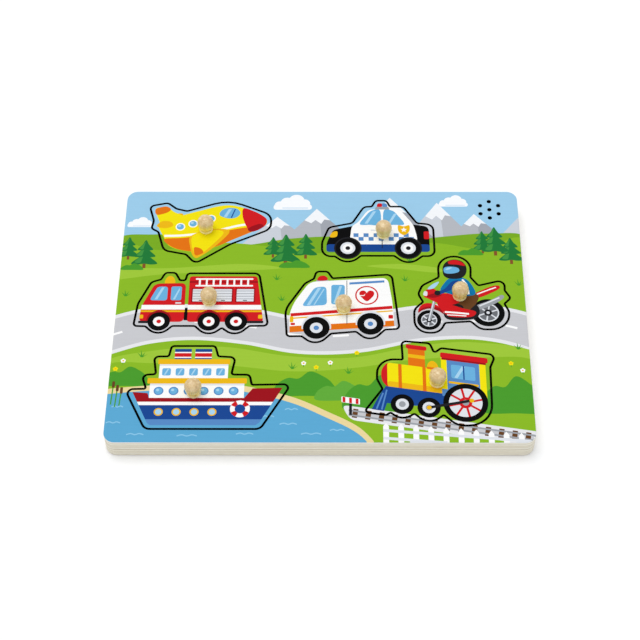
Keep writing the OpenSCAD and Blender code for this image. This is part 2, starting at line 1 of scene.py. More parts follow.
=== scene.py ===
"""Peg puzzle with sound: printed plywood with seven vehicle pieces that lift out by their turned pegs."""

import math

import bpy
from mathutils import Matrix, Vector
from mathutils.geometry import delaunay_2d_cdt


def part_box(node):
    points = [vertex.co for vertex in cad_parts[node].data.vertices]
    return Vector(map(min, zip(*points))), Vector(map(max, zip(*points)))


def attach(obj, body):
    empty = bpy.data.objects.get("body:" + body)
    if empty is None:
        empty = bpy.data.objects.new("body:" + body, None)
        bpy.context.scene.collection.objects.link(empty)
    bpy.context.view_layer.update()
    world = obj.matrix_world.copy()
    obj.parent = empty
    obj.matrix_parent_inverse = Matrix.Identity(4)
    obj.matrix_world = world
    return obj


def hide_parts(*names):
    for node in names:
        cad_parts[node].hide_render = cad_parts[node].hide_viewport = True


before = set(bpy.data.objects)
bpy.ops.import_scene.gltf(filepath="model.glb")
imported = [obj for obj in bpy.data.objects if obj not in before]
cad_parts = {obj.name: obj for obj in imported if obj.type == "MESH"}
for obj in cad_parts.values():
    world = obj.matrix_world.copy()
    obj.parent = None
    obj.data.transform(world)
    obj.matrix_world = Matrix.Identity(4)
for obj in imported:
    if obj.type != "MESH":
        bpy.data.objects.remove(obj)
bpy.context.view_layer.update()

# Lengths of the print and of the wood are in millimetres, as in the part's source.
MM = 0.001
VEHICLES = ("airplane", "police_car", "fire_engine", "ambulance", "motorcycle", "ship", "train")
FACE_FOOT, FACE_TOP = (corner.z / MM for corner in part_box("face_board"))

# Colours of the print, as 8-bit sRGB.
INKS = {
    "sky": (158, 205, 233),
    "cloud": (252, 253, 254),
    "cloud_shade": (222, 235, 246),
    "rock": (183, 186, 192),
    "rock_shade": (164, 168, 176),
    "rock_far": (205, 210, 217),
    "snow": (246, 248, 250),
    "grass": (140, 187, 38),
    "grass_light": (160, 201, 58),
    "grass_deep": (122, 172, 34),
    "bush": (74, 156, 44),
    "bush_light": (98, 172, 58),
    "fir": (32, 122, 56),
    "fir_light": (66, 150, 66),
    "trunk": (134, 82, 42),
    "road": (203, 203, 206),
    "verge": (234, 234, 236),
    "white": (254, 253, 251),
    "pale": (226, 229, 234),
    "water": (93, 170, 211),
    "ripple": (140, 199, 230),
    "sand": (238, 216, 158),
    "yellow": (246, 229, 12),
    "amber": (240, 186, 20),
    "orange": (230, 116, 16),
    "red": (211, 26, 32),
    "maroon": (158, 14, 26),
    "navy": (24, 71, 146),
    "blue": (88, 139, 197),
    "glass": (108, 178, 222),
    "glass_light": (170, 214, 240),
    "teal": (10, 118, 172),
    "black": (5, 5, 6),
    "coal": (32, 32, 36),
    "steel": (158, 162, 167),
    "iron": (112, 114, 119),
    "brown": (104, 66, 34),
}

# The print: flat shapes in board millimetres, each painted over the ones before it.
SHAPES = []

# Sides of the print's curves: between two points of a curve, in a round corner and around a disc.
CURVE_STEPS = 5
CORNER_STEPS = 4
DISC_STEPS = 36
SMALL_DISC_R = 3
SMALL_DISC_STEPS = 22
GLINT_STEPS = 16
PETAL_STEPS = 14


def pairs(ring):
    """Each item of a closed ring with the one after it."""
    return list(zip(ring, ring[1:] + ring[:1]))


def area(loop):
    """Area of a loop, negative where it runs clockwise."""
    return sum(a[0] * b[1] - b[0] * a[1] for a, b in pairs(loop)) / 2


def paint(ink, points):
    """Adds one flat shape to the print, over everything painted before it."""
    SHAPES.append((ink, points if area(points) > 0 else points[::-1]))


def smooth(points, steps=CURVE_STEPS, closed=True):
    """Points along a curve through the given ones."""
    count = len(points)
    line = []
    for i in range(count if closed else count - 1):
        near = (i - 1, i, i + 1, i + 2)
        four = [points[k % count] if closed else points[min(max(k, 0), count - 1)] for k in near]
        for step in range(steps):
            t = step / steps
            line.append(tuple(
                b + (c - a) * t / 2 + (a - 2.5 * b + 2 * c - d / 2) * t**2
                + (1.5 * (b - c) + (d - a) / 2) * t**3
                for a, b, c, d in zip(*four)
            ))
    return line if closed else line + [points[-1]]


def blob(ink, points, steps=CURVE_STEPS):
    """Paints the inside of a closed curve through the points."""
    paint(ink, smooth(points, steps))


def rounded(points, r):
    """Polygon with its corners rounded off, each over at most the distance r along its sides."""
    line = []
    for i, p in enumerate(points):
        ends = []
        for q in (points[i - 1], points[(i + 1) % len(points)]):
            share = min(0.5, r / math.dist(p, q))
            ends.append((p[0] + (q[0] - p[0]) * share, p[1] + (q[1] - p[1]) * share))
        for step in range(CORNER_STEPS + 1):
            t = step / CORNER_STEPS
            line.append(tuple(
                (1 - t) ** 2 * a + 2 * t * (1 - t) * b + t**2 * c for a, b, c in zip(ends[0], p, ends[1])
            ))
    return line


def at_turn(x, y, r, turn):
    """Point at a distance and a turn, in degrees, from a middle."""
    return (x + r * math.cos(math.radians(turn)), y + r * math.sin(math.radians(turn)))


def disc(x, y, r, steps=DISC_STEPS):
    """Points around a circle."""
    return [at_turn(x, y, r, 360 * k / steps) for k in range(steps)]


def slab(x0, y0, x1, y1, r=0.0):
    """Upright rectangle, with round corners where r is given."""
    corners = [(x0, y0), (x1, y0), (x1, y1), (x0, y1)]
    return rounded(corners, r) if r else corners


def ribbon(points, width):
    """Band of the given width along a line."""
    left, right = [], []
    last = len(points) - 1
    for i, (x, y) in enumerate(points):
        a, b = points[max(i - 1, 0)], points[min(i + 1, last)]
        dx, dy = b[0] - a[0], b[1] - a[1]
        half = width / 2 / math.hypot(dx, dy)
        left.append((x - dy * half, y + dx * half))
        right.append((x + dy * half, y - dx * half))
    return left + right[::-1]


def bar(ink, *corners_and_r):
    """Paints an upright rectangle."""
    paint(ink, slab(*corners_and_r))


def bow(ink, points, width):
    """Paints a band of the given width along a curve."""
    paint(ink, ribbon(smooth(points, closed=False), width))


def placed(points, x, y, turn=0.0):
    """Points turned by some degrees and moved to a place."""
    c, s = math.cos(math.radians(turn)), math.sin(math.radians(turn))
    return [(x + px * c - py * s, y + px * s + py * c) for px, py in points]


def stretched(shares, x, y, w, h):
    """Points given as shares of a width and a height, moved to a place."""
    return [(x + w * across, y + h * up) for across, up in shares]


def sloped(points, fall, level_x=0):
    """Points moved up or down along a slope that leaves them level at one place."""
    return [(x, y + fall * (x - level_x)) for x, y in points]


def spokes(ink, x, y, r, width, count, turn):
    """Spokes of a wheel."""
    for k in range(count):
        paint(ink, placed(slab(0, -width / 2, r, width / 2), x, y, turn + 360 * k / count))


def arch(ink, x, y, r, foot):
    """Wheel arch: a disc down to the foot of the bodywork."""
    paint(ink, [p for p in disc(x, y, r) if p[1] > foot])


def rings(x, y, *inks_and_radii):
    """Discs on one middle, the largest first."""
    for ink, r in inks_and_radii:
        paint(ink, disc(x, y, r, DISC_STEPS if r > SMALL_DISC_R else SMALL_DISC_STEPS))


def pane(points, *glints):
    """Window with streaks of light inside it."""
    paint("glass", points)
    for glint in glints:
        paint("glass_light", glint)


def streak(x0, y0, x1, y1, w):
    """Slanted band from a foot to a top."""
    return [(x0, y0), (x0 + w, y0), (x1 + w, y1), (x1, y1)]


def porthole(x, y, r, frame_ink):
    """Round window in a frame."""
    rings(x, y, (frame_ink, r), ("glass", r * 0.76))
    paint("glass_light", disc(x - r * 0.2, y + r * 0.24, r * 0.32, GLINT_STEPS))


def cloud(x, y, size):
    """Heap of round puffs on a flat foot."""
    for px, py, r in ((-11, 1.5, 4.2), (-5, 4.2, 5.4), (2.5, 6.2, 6.4), (9, 3.2, 4.6)):
        paint("cloud", disc(x + px * size, y + py * size, r * size))
    bar("cloud", x - 16 * size, y - 3 * size, x + 15 * size, y + 2.4 * size, 2.6 * size)
    bar("cloud_shade", x - 9 * size, y - 1.9 * size, x + 12 * size, y - 0.5 * size, 0.7 * size)


def peak(x, foot, w, h, ink, shade):
    """Mountain with a lit and a shaded side and a cap of snow."""
    snow = ((0, 1), (-0.16, 0.68), (-0.07, 0.6), (-0.015, 0.69), (0.06, 0.58), (0.1, 0.7), (0.176, 0.68))
    for side_ink, shares in (
        (ink, ((-0.5, 0), (0.55, 0), (0, 1))),
        (shade, ((0.08, 0), (0.55, 0), (0, 1), (0.05, 0.55))),
        ("snow", snow)
    ):
        paint(side_ink, stretched(shares, x, foot, w, h))


def fir(x, y, size):
    """Fir tree of three tiers, lit from the left."""
    tier = ((-1, 0), (-0.5, -0.1), (0, -0.03), (0.5, -0.1), (1, 0), (0.42, 0.5), (0, 1), (-0.42, 0.5))
    lit = ((-0.74, 0.09), (-0.3, 0.05), (-0.16, 0.45), (-0.03, 0.84), (-0.42, 0.45))
    bar("trunk", x - 1.3 * size, y, x + 1.3 * size, y + 7 * size)
    for low, half, tall in ((5, 11, 13), (12.5, 9, 11.5), (19.5, 6.6, 10)):
        for ink, shares in (("fir", tier), ("fir_light", lit)):
            blob(ink, stretched(shares, x, y + low * size, half * size, tall * size), steps=4)


def bush(x, y, w, h, ink="bush"):
    """Low round bush on a flat foot."""
    left = ((-0.5, 0), (-0.48, 0.42), (-0.3, 0.72), (-0.12, 0.7))
    right = ((0.06, 1), (0.27, 0.8), (0.42, 0.5), (0.5, 0), (0, -0.03))
    blob(ink, stretched(left + right, x, y, w, h))


def tuft(x, y):
    """Few blades of grass."""
    for lean, tall in ((-3.4, 4.2), (-0.8, 6.4), (2.4, 4.8), (4.2, 2.8)):
        paint("bush", [(x - 0.7, y), (x + 0.7, y), (x + lean, y + tall)])


def flower(x, y, ink):
    """Flower of five petals on a short stalk."""
    bar("bush", x - 0.25, y - 3.2, x + 0.25, y)
    for k in range(5):
        paint(ink, disc(*at_turn(x, y, 1.05, 72 * k + 18), 0.85, PETAL_STEPS))
    paint("amber", disc(x, y, 0.7, PETAL_STEPS))


def ripple(x, y, w):
    """Short wave on the water."""
    crests = [(x - w / 2, y), (x - w / 4, y + 0.9), (x, y), (x + w / 4, y + 0.9), (x + w / 2, y)]
    bow("ripple", crests, 0.9)


def hills():
    """Sky, mountains and the upper meadow with its trees."""
    bar("sky", -152, -115, 152, 115)
    for x, y, size in ((-22, 97, 0.95), (-138, 79, 0.62), (101, 99.5, 0.72)):
        cloud(x, y, size)
    for x, w, h in ((159, 62, 38), (-34, 54, 27), (88, 58, 41)):
        peak(x, 60, w, h, "rock_far", "rock")
    for x, w, h in ((116, 50, 30), (-4, 58, 35), (52, 70, 46)):
        peak(x, 60, w, h, "rock", "rock_shade")
    blob("grass_deep", [
        (-156, 64), (-128, 70), (-96, 67), (-60, 60), (-24, 66), (14, 68), (52, 63), (92, 68), (126, 71),
        (156, 66), (156, 20), (-156, 20)
    ], steps=8)
    blob("grass", [
        (-156, 52), (-120, 55), (-78, 62), (-36, 58), (2, 52), (44, 60), (84, 62), (120, 56), (156, 60),
        (156, -60), (-156, -60)
    ], steps=8)
    blob("grass_light", [
        (-156, 34), (-140, 38), (-112, 38), (-60, 42), (-30, 38), (-70, 35), (-120, 32), (-156, 27)
    ], steps=6)
    blob("grass_light", [(34, 40), (60, 42), (88, 38), (86, 34), (60, 37)], steps=6)
    for x, y, size in (
        (-145, 46, 0.72), (-132.5, 38, 0.9), (-36.5, 48, 0.66), (-12, 47, 0.8), (-27, 40, 1.02),
        (121, 52, 0.72), (142, 42, 0.84), (130.5, 50, 0.92)
    ):
        fir(x, y, size)
    for x, y, w, h in ((-20, 38.5, 22, 7), (112, 50.5, 18, 6.5), (-141, 36.5, 16, 6)):
        bush(x, y, w, h)
    for x, y in ((-29, 8), (62, 26), (66, 44), (-144, 12), (146, 22), (-33, 27)):
        tuft(x, y)


def road():
    """Road across the meadows, with pale verges and a broken white line."""
    line = smooth([
        (-160, -26), (-128, -15), (-92, -11), (-52, -15), (-14, -23), (26, -22), (66, -13), (104, -10),
        (134, -14), (160, -23)
    ], steps=7, closed=False)
    paint("verge", ribbon(line, 32))
    paint("road", ribbon(line, 26))
    for k in range(2, len(line) - 4, 6):
        paint("white", ribbon(line[k:k + 3], 1.8))


def lower_meadow():
    """Meadow between the road and the lake, with hedges and flowers."""
    blob("grass_light", [
        (-158, -49), (-118, -36), (-70, -33), (-22, -41), (24, -42), (70, -32), (112, -29), (158, -41),
        (158, -90), (-158, -90)
    ], steps=8)
    blob("grass", [
        (-158, -54), (-118, -47), (-66, -49), (-20, -54), (24, -51), (66, -44), (112, -42), (158, -50),
        (158, -124), (-158, -124)
    ], steps=8)
    for x, y, w, h, ink in (
        (-138, -66, 34, 16, "bush"), (-10, -74, 44, 20, "bush"), (14, -78, 34, 16, "bush_light"),
        (136, -88, 44, 30, "bush"), (40, -86, 46, 29, "bush")
    ):
        bush(x, y, w, h, ink)
    for x, y, ink in (
        (-12, -47, "white"), (-3, -50.5, "yellow"), (7, -46.5, "white"), (136, -47, "yellow"),
        (144, -53, "white"), (-141, -45, "white"), (26, -38, "yellow"), (-146, -52, "yellow")
    ):
        flower(x, y, ink)
    for x, y in ((-20, -52), (20, -56), (142, -35), (-128, -42)):
        tuft(x, y)


def lake():
    """Lake with a sandy shore, ripples and bulrushes."""
    shore = smooth([
        (-160, -70), (-120, -66), (-70, -64), (-24, -74), (6, -88), (28, -101), (42, -118)
    ], steps=7, closed=False)
    paint("sand", shore + [(-160, -120)])
    paint("water", [(x - 1.5, y - 4.5) for x, y in shore] + [(-164, -124)])
    for x, y, w in (
        (-142, -84, 8), (-144, -97, 10), (-128, -106.5, 12), (-92, -107.5, 14), (-52, -106, 12),
        (-22, -98, 12), (-6, -106, 14), (-20, -86, 9), (12, -103, 10), (-36, -92, 8)
    ):
        ripple(x, y, w)
    for x, low, high in ((-147, -82, -65), (-144, -84, -68), (-141, -83, -70)):
        paint("bush", ribbon([(x, low), (x + 0.8, high)], 0.9))
        bar("brown", x - 0.2, high - 3, x + 1.8, high + 2.5, 0.9)


def railway():
    """Sloping railway with a buffer stop, and a fence in front of it."""
    fall = -0.1594
    ballast = [(15, -79.6), (160, -79.6), (160, -91), (21, -91)]
    paint("verge", rounded(sloped(ballast, fall), 5))
    paint("road", sloped(slab(20, -88, 160, -82.4), fall))
    for k in range(15):
        x = 23.4 + 9.2 * k
        paint("brown", sloped(streak(x - 1.2, -88.8, x, -81.4, 3.6), fall))
    for y in (-82.6, -86.4):
        paint("steel", sloped(slab(20, y - 1.3, 160, y), fall))
    paint("coal", sloped(slab(20.4, -87, 22.4, -77), fall))
    paint("white", rounded(sloped(slab(15, -77.4, 28, -72.6), fall), 0.8))
    for x in (15.8, 20.4, 25):
        paint("red", sloped(slab(x, -77.2, x + 2, -72.8), fall))
    fence_fall = -0.085
    fence_top = -95.6
    for k in range(11):
        x = 46 + 10.4 * k
        top = fence_top + fence_fall * x
        paint("white", [(x - 2, -120), (x + 2, -120), (x + 2, top), (x, top + 2.8), (x - 2, top)])
    for drop in (2.4, 8.6):
        y = fence_top - drop
        paint("pale", sloped(slab(44, y - 2.2, 160, y), fence_fall))


def airplane():
    """Yellow airplane with a red nose."""
    blob("amber", [(-122, 80), (-113, 81), (-106, 89), (-110, 90.4), (-117, 86)])
    blob("yellow", [
        (-127.6, 94.4), (-122.6, 96.8), (-118.6, 97), (-113.2, 92), (-104, 86), (-108, 76), (-120, 76),
        (-124.4, 84)
    ])
    blob("orange", [
        (-127.5, 94.5), (-122.6, 96.9), (-118.6, 97.1), (-115.8, 94.4), (-119, 91), (-126.2, 89.2)
    ])
    blob("yellow", [
        (-124.2, 78.6), (-118, 83.4), (-106, 88.8), (-92, 93.6), (-80, 97.4), (-70, 98.5), (-59, 95.6),
        (-48.4, 90.6), (-42, 84.4), (-44, 77.6), (-55, 71.4), (-67, 65), (-79, 58.6), (-94, 53.8),
        (-107, 55.4), (-115.6, 59.8), (-119.8, 68)
    ], steps=6)
    blob("orange", [
        (-118.8, 65.6), (-104, 66.8), (-84, 70.2), (-64, 75.6), (-45, 78), (-55, 71.5), (-67, 65.1),
        (-79, 58.7), (-94, 53.9), (-107, 55.5), (-115.4, 60)
    ])
    bow("white", [(-119.2, 68.6), (-104, 69.2), (-84, 72.6), (-64, 78.4), (-54, 80.2)], 2)
    blob("amber", [(-125.6, 77.9), (-119, 76), (-113.2, 78.4), (-115.4, 82.4), (-122, 82.6)])
    blob("red", [
        (-60, 95.5), (-53.4, 93.3), (-46.8, 89.4), (-42, 84.4), (-44, 77.6), (-53, 72.6), (-57.4, 78),
        (-60.6, 88)
    ], steps=6)
    blob("maroon", [(-48, 80.2), (-44.2, 77.8), (-53, 72.6), (-56, 75.8)])
    pane(smooth([(-78, 88.6), (-76.6, 93.6), (-71, 96), (-65, 95), (-62.4, 91), (-65, 86.8), (-71, 85.6)]),
         [(-75, 87.4), (-72.8, 86.8), (-69, 95), (-71.4, 94.8)])
    paint("navy", ribbon([(-69.2, 86.2), (-66.4, 94.8)], 0.9))
    for x, y in ((-107.5, 77.4), (-98, 80.4), (-84.6, 85.4)):
        porthole(x, y, 3.6, "white")
    blob("amber", [
        (-99.5, 68), (-88, 74), (-75, 75.5), (-70, 72.5), (-75.6, 64), (-84, 54.8), (-91, 49),
        (-94.4, 47.6), (-97, 50.6), (-99, 58)
    ], steps=6)
    blob("yellow", [
        (-97.5, 69), (-87, 73.4), (-77.5, 74), (-74.5, 71), (-79.6, 63.5), (-86.8, 55), (-92, 50.4),
        (-94.6, 49.8), (-96, 53), (-98, 60)
    ], steps=6)
    blob("orange", [(-95.8, 53), (-94.5, 49.9), (-92, 50.5), (-88.8, 53), (-91.4, 56.8), (-95.8, 57.6)])


def police_car():
    """White and black patrol car with a chequered band."""
    paint("black", rounded([
        (3.6, 55), (3.6, 61.6), (8.4, 74.4), (24, 78.4), (46, 80), (70, 79.6), (79.4, 78), (81.2, 75),
        (81.4, 55)
    ], 3))
    paint("white", rounded([
        (20.4, 56), (22.6, 78.4), (27.4, 81.4), (35.4, 94.4), (59.4, 94.6), (69.6, 79.6), (72.4, 66),
        (71, 56)
    ], 4))
    bar("navy", 3.6, 53.4, 81.4, 60.6, 2.4)
    for k in range(6):
        x = 24 + 7.6 * k
        bar("blue", x, 67.6, x + 3.8, 71.2)
        bar("blue", x + 3.8, 64, x + 7.6, 67.6)
    bar("coal", 45.3, 57, 45.9, 79)
    pane(smooth([(28.8, 80), (33, 87.6), (37.6, 93), (44.2, 93.6), (44.2, 80), (36, 79.4)]),
         streak(32.4, 80.6, 39, 92.6, 2.4))
    pane(smooth([(47.4, 80), (47.4, 93.6), (53.8, 93.2), (58, 88.4), (62.6, 80), (55, 79.4)]),
         streak(50, 80.6, 55, 90.4, 2.2))
    blob("amber", [(6.2, 67.5), (7.8, 72), (11.6, 73), (11.2, 68)])
    bar("red", 77.2, 65.6, 81.2, 73, 1)
    for x in (37, 49):
        bar("pale", x, 73.4, x + 4.6, 74.8, 0.6)
    blob("amber", [(58, 79), (62.2, 77.9), (66.4, 79), (66.2, 73), (62.2, 69.4), (58.2, 73)])
    paint("white", [at_turn(62.2, 74.6, 1.1 if k % 2 else 2.5, 90 + 36 * k) for k in range(10)])
    paint("steel", rounded([(40.2, 94.4), (51.8, 94.4), (50.6, 97.2), (41.4, 97.2)], 0.8))
    paint("red", rounded([(41.8, 97), (46, 97), (46, 100.5), (42.6, 100.5)], 1))
    paint("blue", rounded([(46, 97), (50.2, 97), (49.4, 100.5), (46, 100.5)], 1))
    for x in (19.7, 65.2):
        rings(x, 57, ("coal", 10.4), ("black", 9.2), ("pale", 5.6), ("white", 3.8), ("coal", 1.8))


def fire_engine():
    """Red fire engine with a ladder and three lockers."""
    blob("amber", [(-115.6, 24), (-114.8, 28.8), (-112, 30.8), (-109.2, 28.8), (-108.4, 24)], steps=4)
    paint("red", rounded([(-132.6, -11), (-131.6, 3), (-123, 23.6), (-100, 24.2), (-99.8, -11)], 4))
    paint("red", rounded([(-97.6, -11), (-42, -11), (-47.4, 30.4), (-97.6, 30.4)], 2.4))
    paint("maroon", [(-97.6, 24.4), (-46.7, 24.4), (-46.9, 26), (-97.6, 26)])
    bar("black", -100, -9.6, -97.4, 1.6)
    pane(rounded([(-126, 8.4), (-120.8, 20.8), (-113.2, 21), (-113.2, 8.2)], 2.4),
         streak(-122.4, 9.2, -117.6, 20.2, 2))
    pane(slab(-110.6, 8.4, -102.8, 21, 1.6), [(-109, 9.2), (-107.4, 9.2), (-104.4, 17.4), (-104.4, 20.2)])
    paint("white", [(-131.7, 0), (-131.4, 4.2), (-99.6, 4.2), (-99.6, 0)])
    paint("white", [(-97.6, 0), (-97.6, 4.2), (-44, 4.2), (-43.4, 0)])
    for x0, x1 in ((-132, -99.6), (-97.6, -43.4)):
        bar("amber", x0, -2.2, x1, -0.7)
    for x in (-95.6, -79.4, -63.2):
        bar("maroon", x, 6.6, x + 14.6, 19.4, 0.8)
        bar("pale", x + 1, 7.4, x + 13.6, 18.6, 0.6)
        for row in range(4):
            bar("steel", x + 1, 9.4 + 2.4 * row, x + 13.6, 10 + 2.4 * row)
        bar("iron", x + 5.7, 7.8, x + 8.9, 8.7, 0.4)
    for y in (21, 27.2):
        bar("white", -93, y, -50.4, y + 1.4, 0.6)
    for k in range(8):
        bar("white", -90.6 + 5.1 * k, 21.4, -89.2 + 5.1 * k, 28.2)
    for x0, x1 in ((-132.4, -129.6), (-45.8, -42.6)):
        bar("amber", x0, -8, x1, -4.6, 0.8)
    for x0, x1 in ((-133, -122), (-54, -41.8)):
        bar("coal", x0, -12.2, x1, -10, 1)
    bar("pale", -107, 5.4, -102.6, 6.6, 0.5)
    for x in (-118, -81.6, -61.8):
        arch("maroon", x, -9.8, 9.2, -11)
        rings(x, -10.6, ("black", 8.2), ("white", 4.2), ("red", 1.7))


def ambulance():
    """White ambulance with a heart on its side."""
    bar("steel", -3.6, 25.2, 5.2, 27.2, 0.6)
    blob("red", [(-2.6, 26.6), (-2, 29.8), (0.9, 31.2), (3.8, 30), (4.4, 27)], steps=4)
    paint("white", rounded([
        (-22.6, -20.2), (-23.2, -4.4), (-19.8, 6.6), (-8.4, 25.4), (49.2, 29.2), (52.2, 8), (53.6, -14.6)
    ], 5))
    paint("orange", [(-22.6, -20.2), (-22.7, -14.8), (53.1, -9.6), (53.4, -14.6)])
    paint("red", ribbon([(-22.2, -4.7), (52.2, 2.2)], 2.8))
    paint("amber", ribbon([(-22.6, -7.9), (52.4, -1)], 1.2))
    pane(rounded([(-14.4, 3), (-4.8, 20.4), (3.8, 21.2), (4.4, 4.2)], 3.4),
         streak(-10.6, 4, -2.4, 20, 2.4), streak(-5.6, 4.4, 1.6, 18.8, 1))
    pane(slab(7.4, 4.8, 17.4, 22.6, 2), streak(9, 5.8, 13.4, 21.4, 2))
    paint("blue", [(20.8, 22.8), (46.8, 24.8), (46.6, 26.8), (20.8, 24.8)])
    bar("coal", 18.7, -13, 19.2, 26.6)
    bar("pale", 8.4, 1.6, 13, 2.9, 0.5)
    rings(33.6, 13, ("red", 8.6), ("white", 7.5))
    half = [(0, -5.4), (3.6, -2.2), (5.4, 0.8), (5, 3.4), (2.8, 4.4), (0.9, 3.6)]
    heart = half + [(0, 2.2)] + [(-x, y) for x, y in half[:0:-1]]
    paint("red", placed(smooth(heart, steps=4), 33.6, 13))
    pulse = [(28.6, 12.8), (31.6, 12.8), (32.8, 15.2), (34.4, 10.6), (35.6, 13), (38.6, 13)]
    paint("white", ribbon(pulse, 0.8))
    paint("amber", rounded([(-22.7, -11.4), (-22.7, -6), (-20, -6), (-20, -11.4)], 1))
    bar("red", 49.2, -8, 52.6, -4.6, 0.8)
    bar("red", -22, -13.8, -18.8, -11.8, 0.6)
    for x, y in ((-3.3, -16.2), (36, -12.6)):
        arch("pale", x, y + 0.8, 10.8, y - 2)
        rings(x, y, ("black", 9.7), ("pale", 4.6), ("blue", 2))


def motorcycle():
    """Red motorcycle whose rider wears a closed helmet."""
    for x, y, r in ((78.8, -9.2, 8.8), (122, -2.6, 12.2)):
        rings(x, y, ("black", r), ("pale", r * 0.66), ("iron", r * 0.58))
        spokes("pale", x, y, r * 0.62, 1.1, 6, 20)
        rings(x, y, ("coal", r * 0.24), ("pale", r * 0.1))
    blob("steel", [(112, 3), (124, 8.4), (132.6, 13.4), (134, 10.6), (126, 4.6), (114, -0.4)])
    paint("pale", ribbon([(116, 3.4), (131, 11)], 1.2))
    blob("maroon", [
        (71, -2.6), (72.4, 3), (77, 5.6), (83, 4.6), (88, 0.4), (89.6, -4), (86, -1.2), (79.6, 1),
        (74, -0.6)
    ])
    blob("red", [
        (71, -1.8), (73, 3.6), (77.4, 6), (83.4, 5), (87.6, 1.4), (84, 2.2), (78.6, 2.8), (73.6, 1)
    ])
    paint("steel", ribbon([(79, -9), (84.4, 13)], 2.2))
    paint("pale", ribbon([(78.6, -9), (84, 13)], 0.8))
    blob("coal", [(90, -6), (96, -9.4), (112, -8), (116, -1), (112, 6), (98, 8), (91, 2)])
    blob("red", [(110, 12.6), (118, 17.6), (126, 21.4), (131, 22), (131.6, 19.4), (126, 15.6), (116, 11)])
    bow("white", [(113, 13.2), (121, 17), (129, 20.4)], 1)
    blob("brown", [
        (97, 14), (108, 16), (115.6, 13), (114, 6), (109, 0), (108, -4.6), (103.8, -4.4), (104, 3), (98, 7)
    ])
    blob("coal", [(101.6, -7.6), (102.6, -3.6), (109, -3.6), (109.4, -7.4), (106, -8.8)], steps=4)
    blob("red", [
        (75.8, 12), (77.6, 18), (83, 19), (88, 15.2), (97, 14.8), (103.6, 12.4), (101, 6.4), (92, 4),
        (84.6, 6.6), (78, 10.4)
    ])
    blob("red", [(85, 6.2), (95, 4.6), (104, 1.2), (113, -1.6), (110, -6.2), (97, -6.6), (91, -4)])
    bow("white", [(90.4, -2), (98, -2.6), (108, -3.8)], 1.5)
    bow("white", [(92, -4.6), (99, -5), (106, -5.6)], 0.9)
    blob("maroon", [(77.6, 12), (83, 10.8), (88.6, 13.2), (86.6, 15.4), (81, 14.2)])
    blob("pale", [(75.2, 13.4), (76, 16.6), (78.2, 16.2), (77.8, 12.6)], steps=4)
    blob("glass_light", [(78.4, 18.8), (82, 23), (87, 25.6), (85.4, 22), (82.4, 19.2)], steps=4)
    blob("teal", [
        (91.6, 15.6), (88, 18.4), (90.6, 23.6), (94.4, 28.2), (101, 29.8), (107.6, 27.6), (112, 21),
        (113.4, 14), (106, 12.4), (98, 13.4)
    ])
    blob("navy", [
        (101.8, 26.6), (99.2, 20.4), (91, 15.4), (86, 13.6), (85.4, 16.4), (91, 19), (96.4, 25.4)
    ])
    rings(85.6, 15.2, ("coal", 2.3))
    bow("white", [(104.4, 27.6), (107.6, 22), (108.6, 14)], 1.4)
    blob("coal", [
        (90.4, 33), (90.6, 39.8), (94, 44.6), (99.6, 46.2), (105.2, 44.2), (108, 38.8), (107.2, 32.6),
        (103.4, 28.8), (96.6, 28.2), (92.4, 29.6)
    ], steps=6)
    blob("red", [(94.8, 44.4), (99.6, 45.8), (104.8, 43.8), (107, 40.2), (101.6, 41.4), (95.4, 42)])
    pane(smooth([(91, 35), (91.6, 38.6), (96, 39.6), (101.6, 38.4), (102.4, 35), (98, 33.2), (93, 33.2)]),
         smooth([(92.2, 37), (94.6, 38.6), (97.4, 38.6), (94.4, 36.6)], steps=4))


def ship():
    """Navy ship with a white deckhouse and two funnels."""
    for x in (-104.4, -89.8):
        for ink, low, high in (("navy", -44, -34.8), ("white", -42.6, -37.4), ("red", -41.6, -38.4)):
            bar(ink, x, low, x + 12, high)
    bar("white", -114.6, -60, -65.6, -45)
    bar("amber", -115.8, -48, -64.4, -43.6, 0.8)
    bar("pale", -114.6, -49.4, -65.6, -48)
    for k in range(5):
        x = -109.4 + 9.6 * k
        pane(slab(x - 3.1, -57.6, x + 3.1, -51.4, 1.4), streak(x - 1.8, -57, x + 0.6, -52, 1.2))
    bar("white", -120.4, -77, -53.6, -61)
    bar("amber", -122.4, -64.4, -52, -59.8, 0.9)
    bar("pale", -120.4, -66, -53.6, -64.4)
    for k in range(6):
        porthole(-114 + 10.6 * k, -70.6, 3.5, "blue")
    paint("maroon", [
        (-132.3, -71.5), (-121.6, -72.4), (-120.4, -76.4), (-53.4, -76.4), (-47.6, -68.4), (-26.6, -67.8),
        (-33, -79.7), (-128.5, -79.7)
    ])
    paint("white", [(-128.5, -79.6), (-33, -79.6), (-34.5, -82.4), (-127.2, -82.4)])
    keel = [(-42.4, -97), (-45, -98.8), (-118.2, -98.8), (-120.4, -97)]
    paint("navy", [(-127.2, -82.4), (-34.5, -82.4)] + keel)
    paint("blue", [(-121.8, -94), (-40.8, -94)] + keel)
    for k in range(4):
        rings(-113 + 12.5 * k, -88, ("amber", 3.2), ("glass_light", 2.2))
    buoy = (-56, -85.4)
    rings(*buoy, ("white", 7))
    for turn in (45, 135, 225, 315):
        bends = range(turn - 20, turn + 21, 10)
        paint("red", [at_turn(*buoy, 7, b) for b in bends] + [at_turn(*buoy, 3.7, b) for b in bends[::-1]])
    rings(*buoy, ("navy", 3.7))


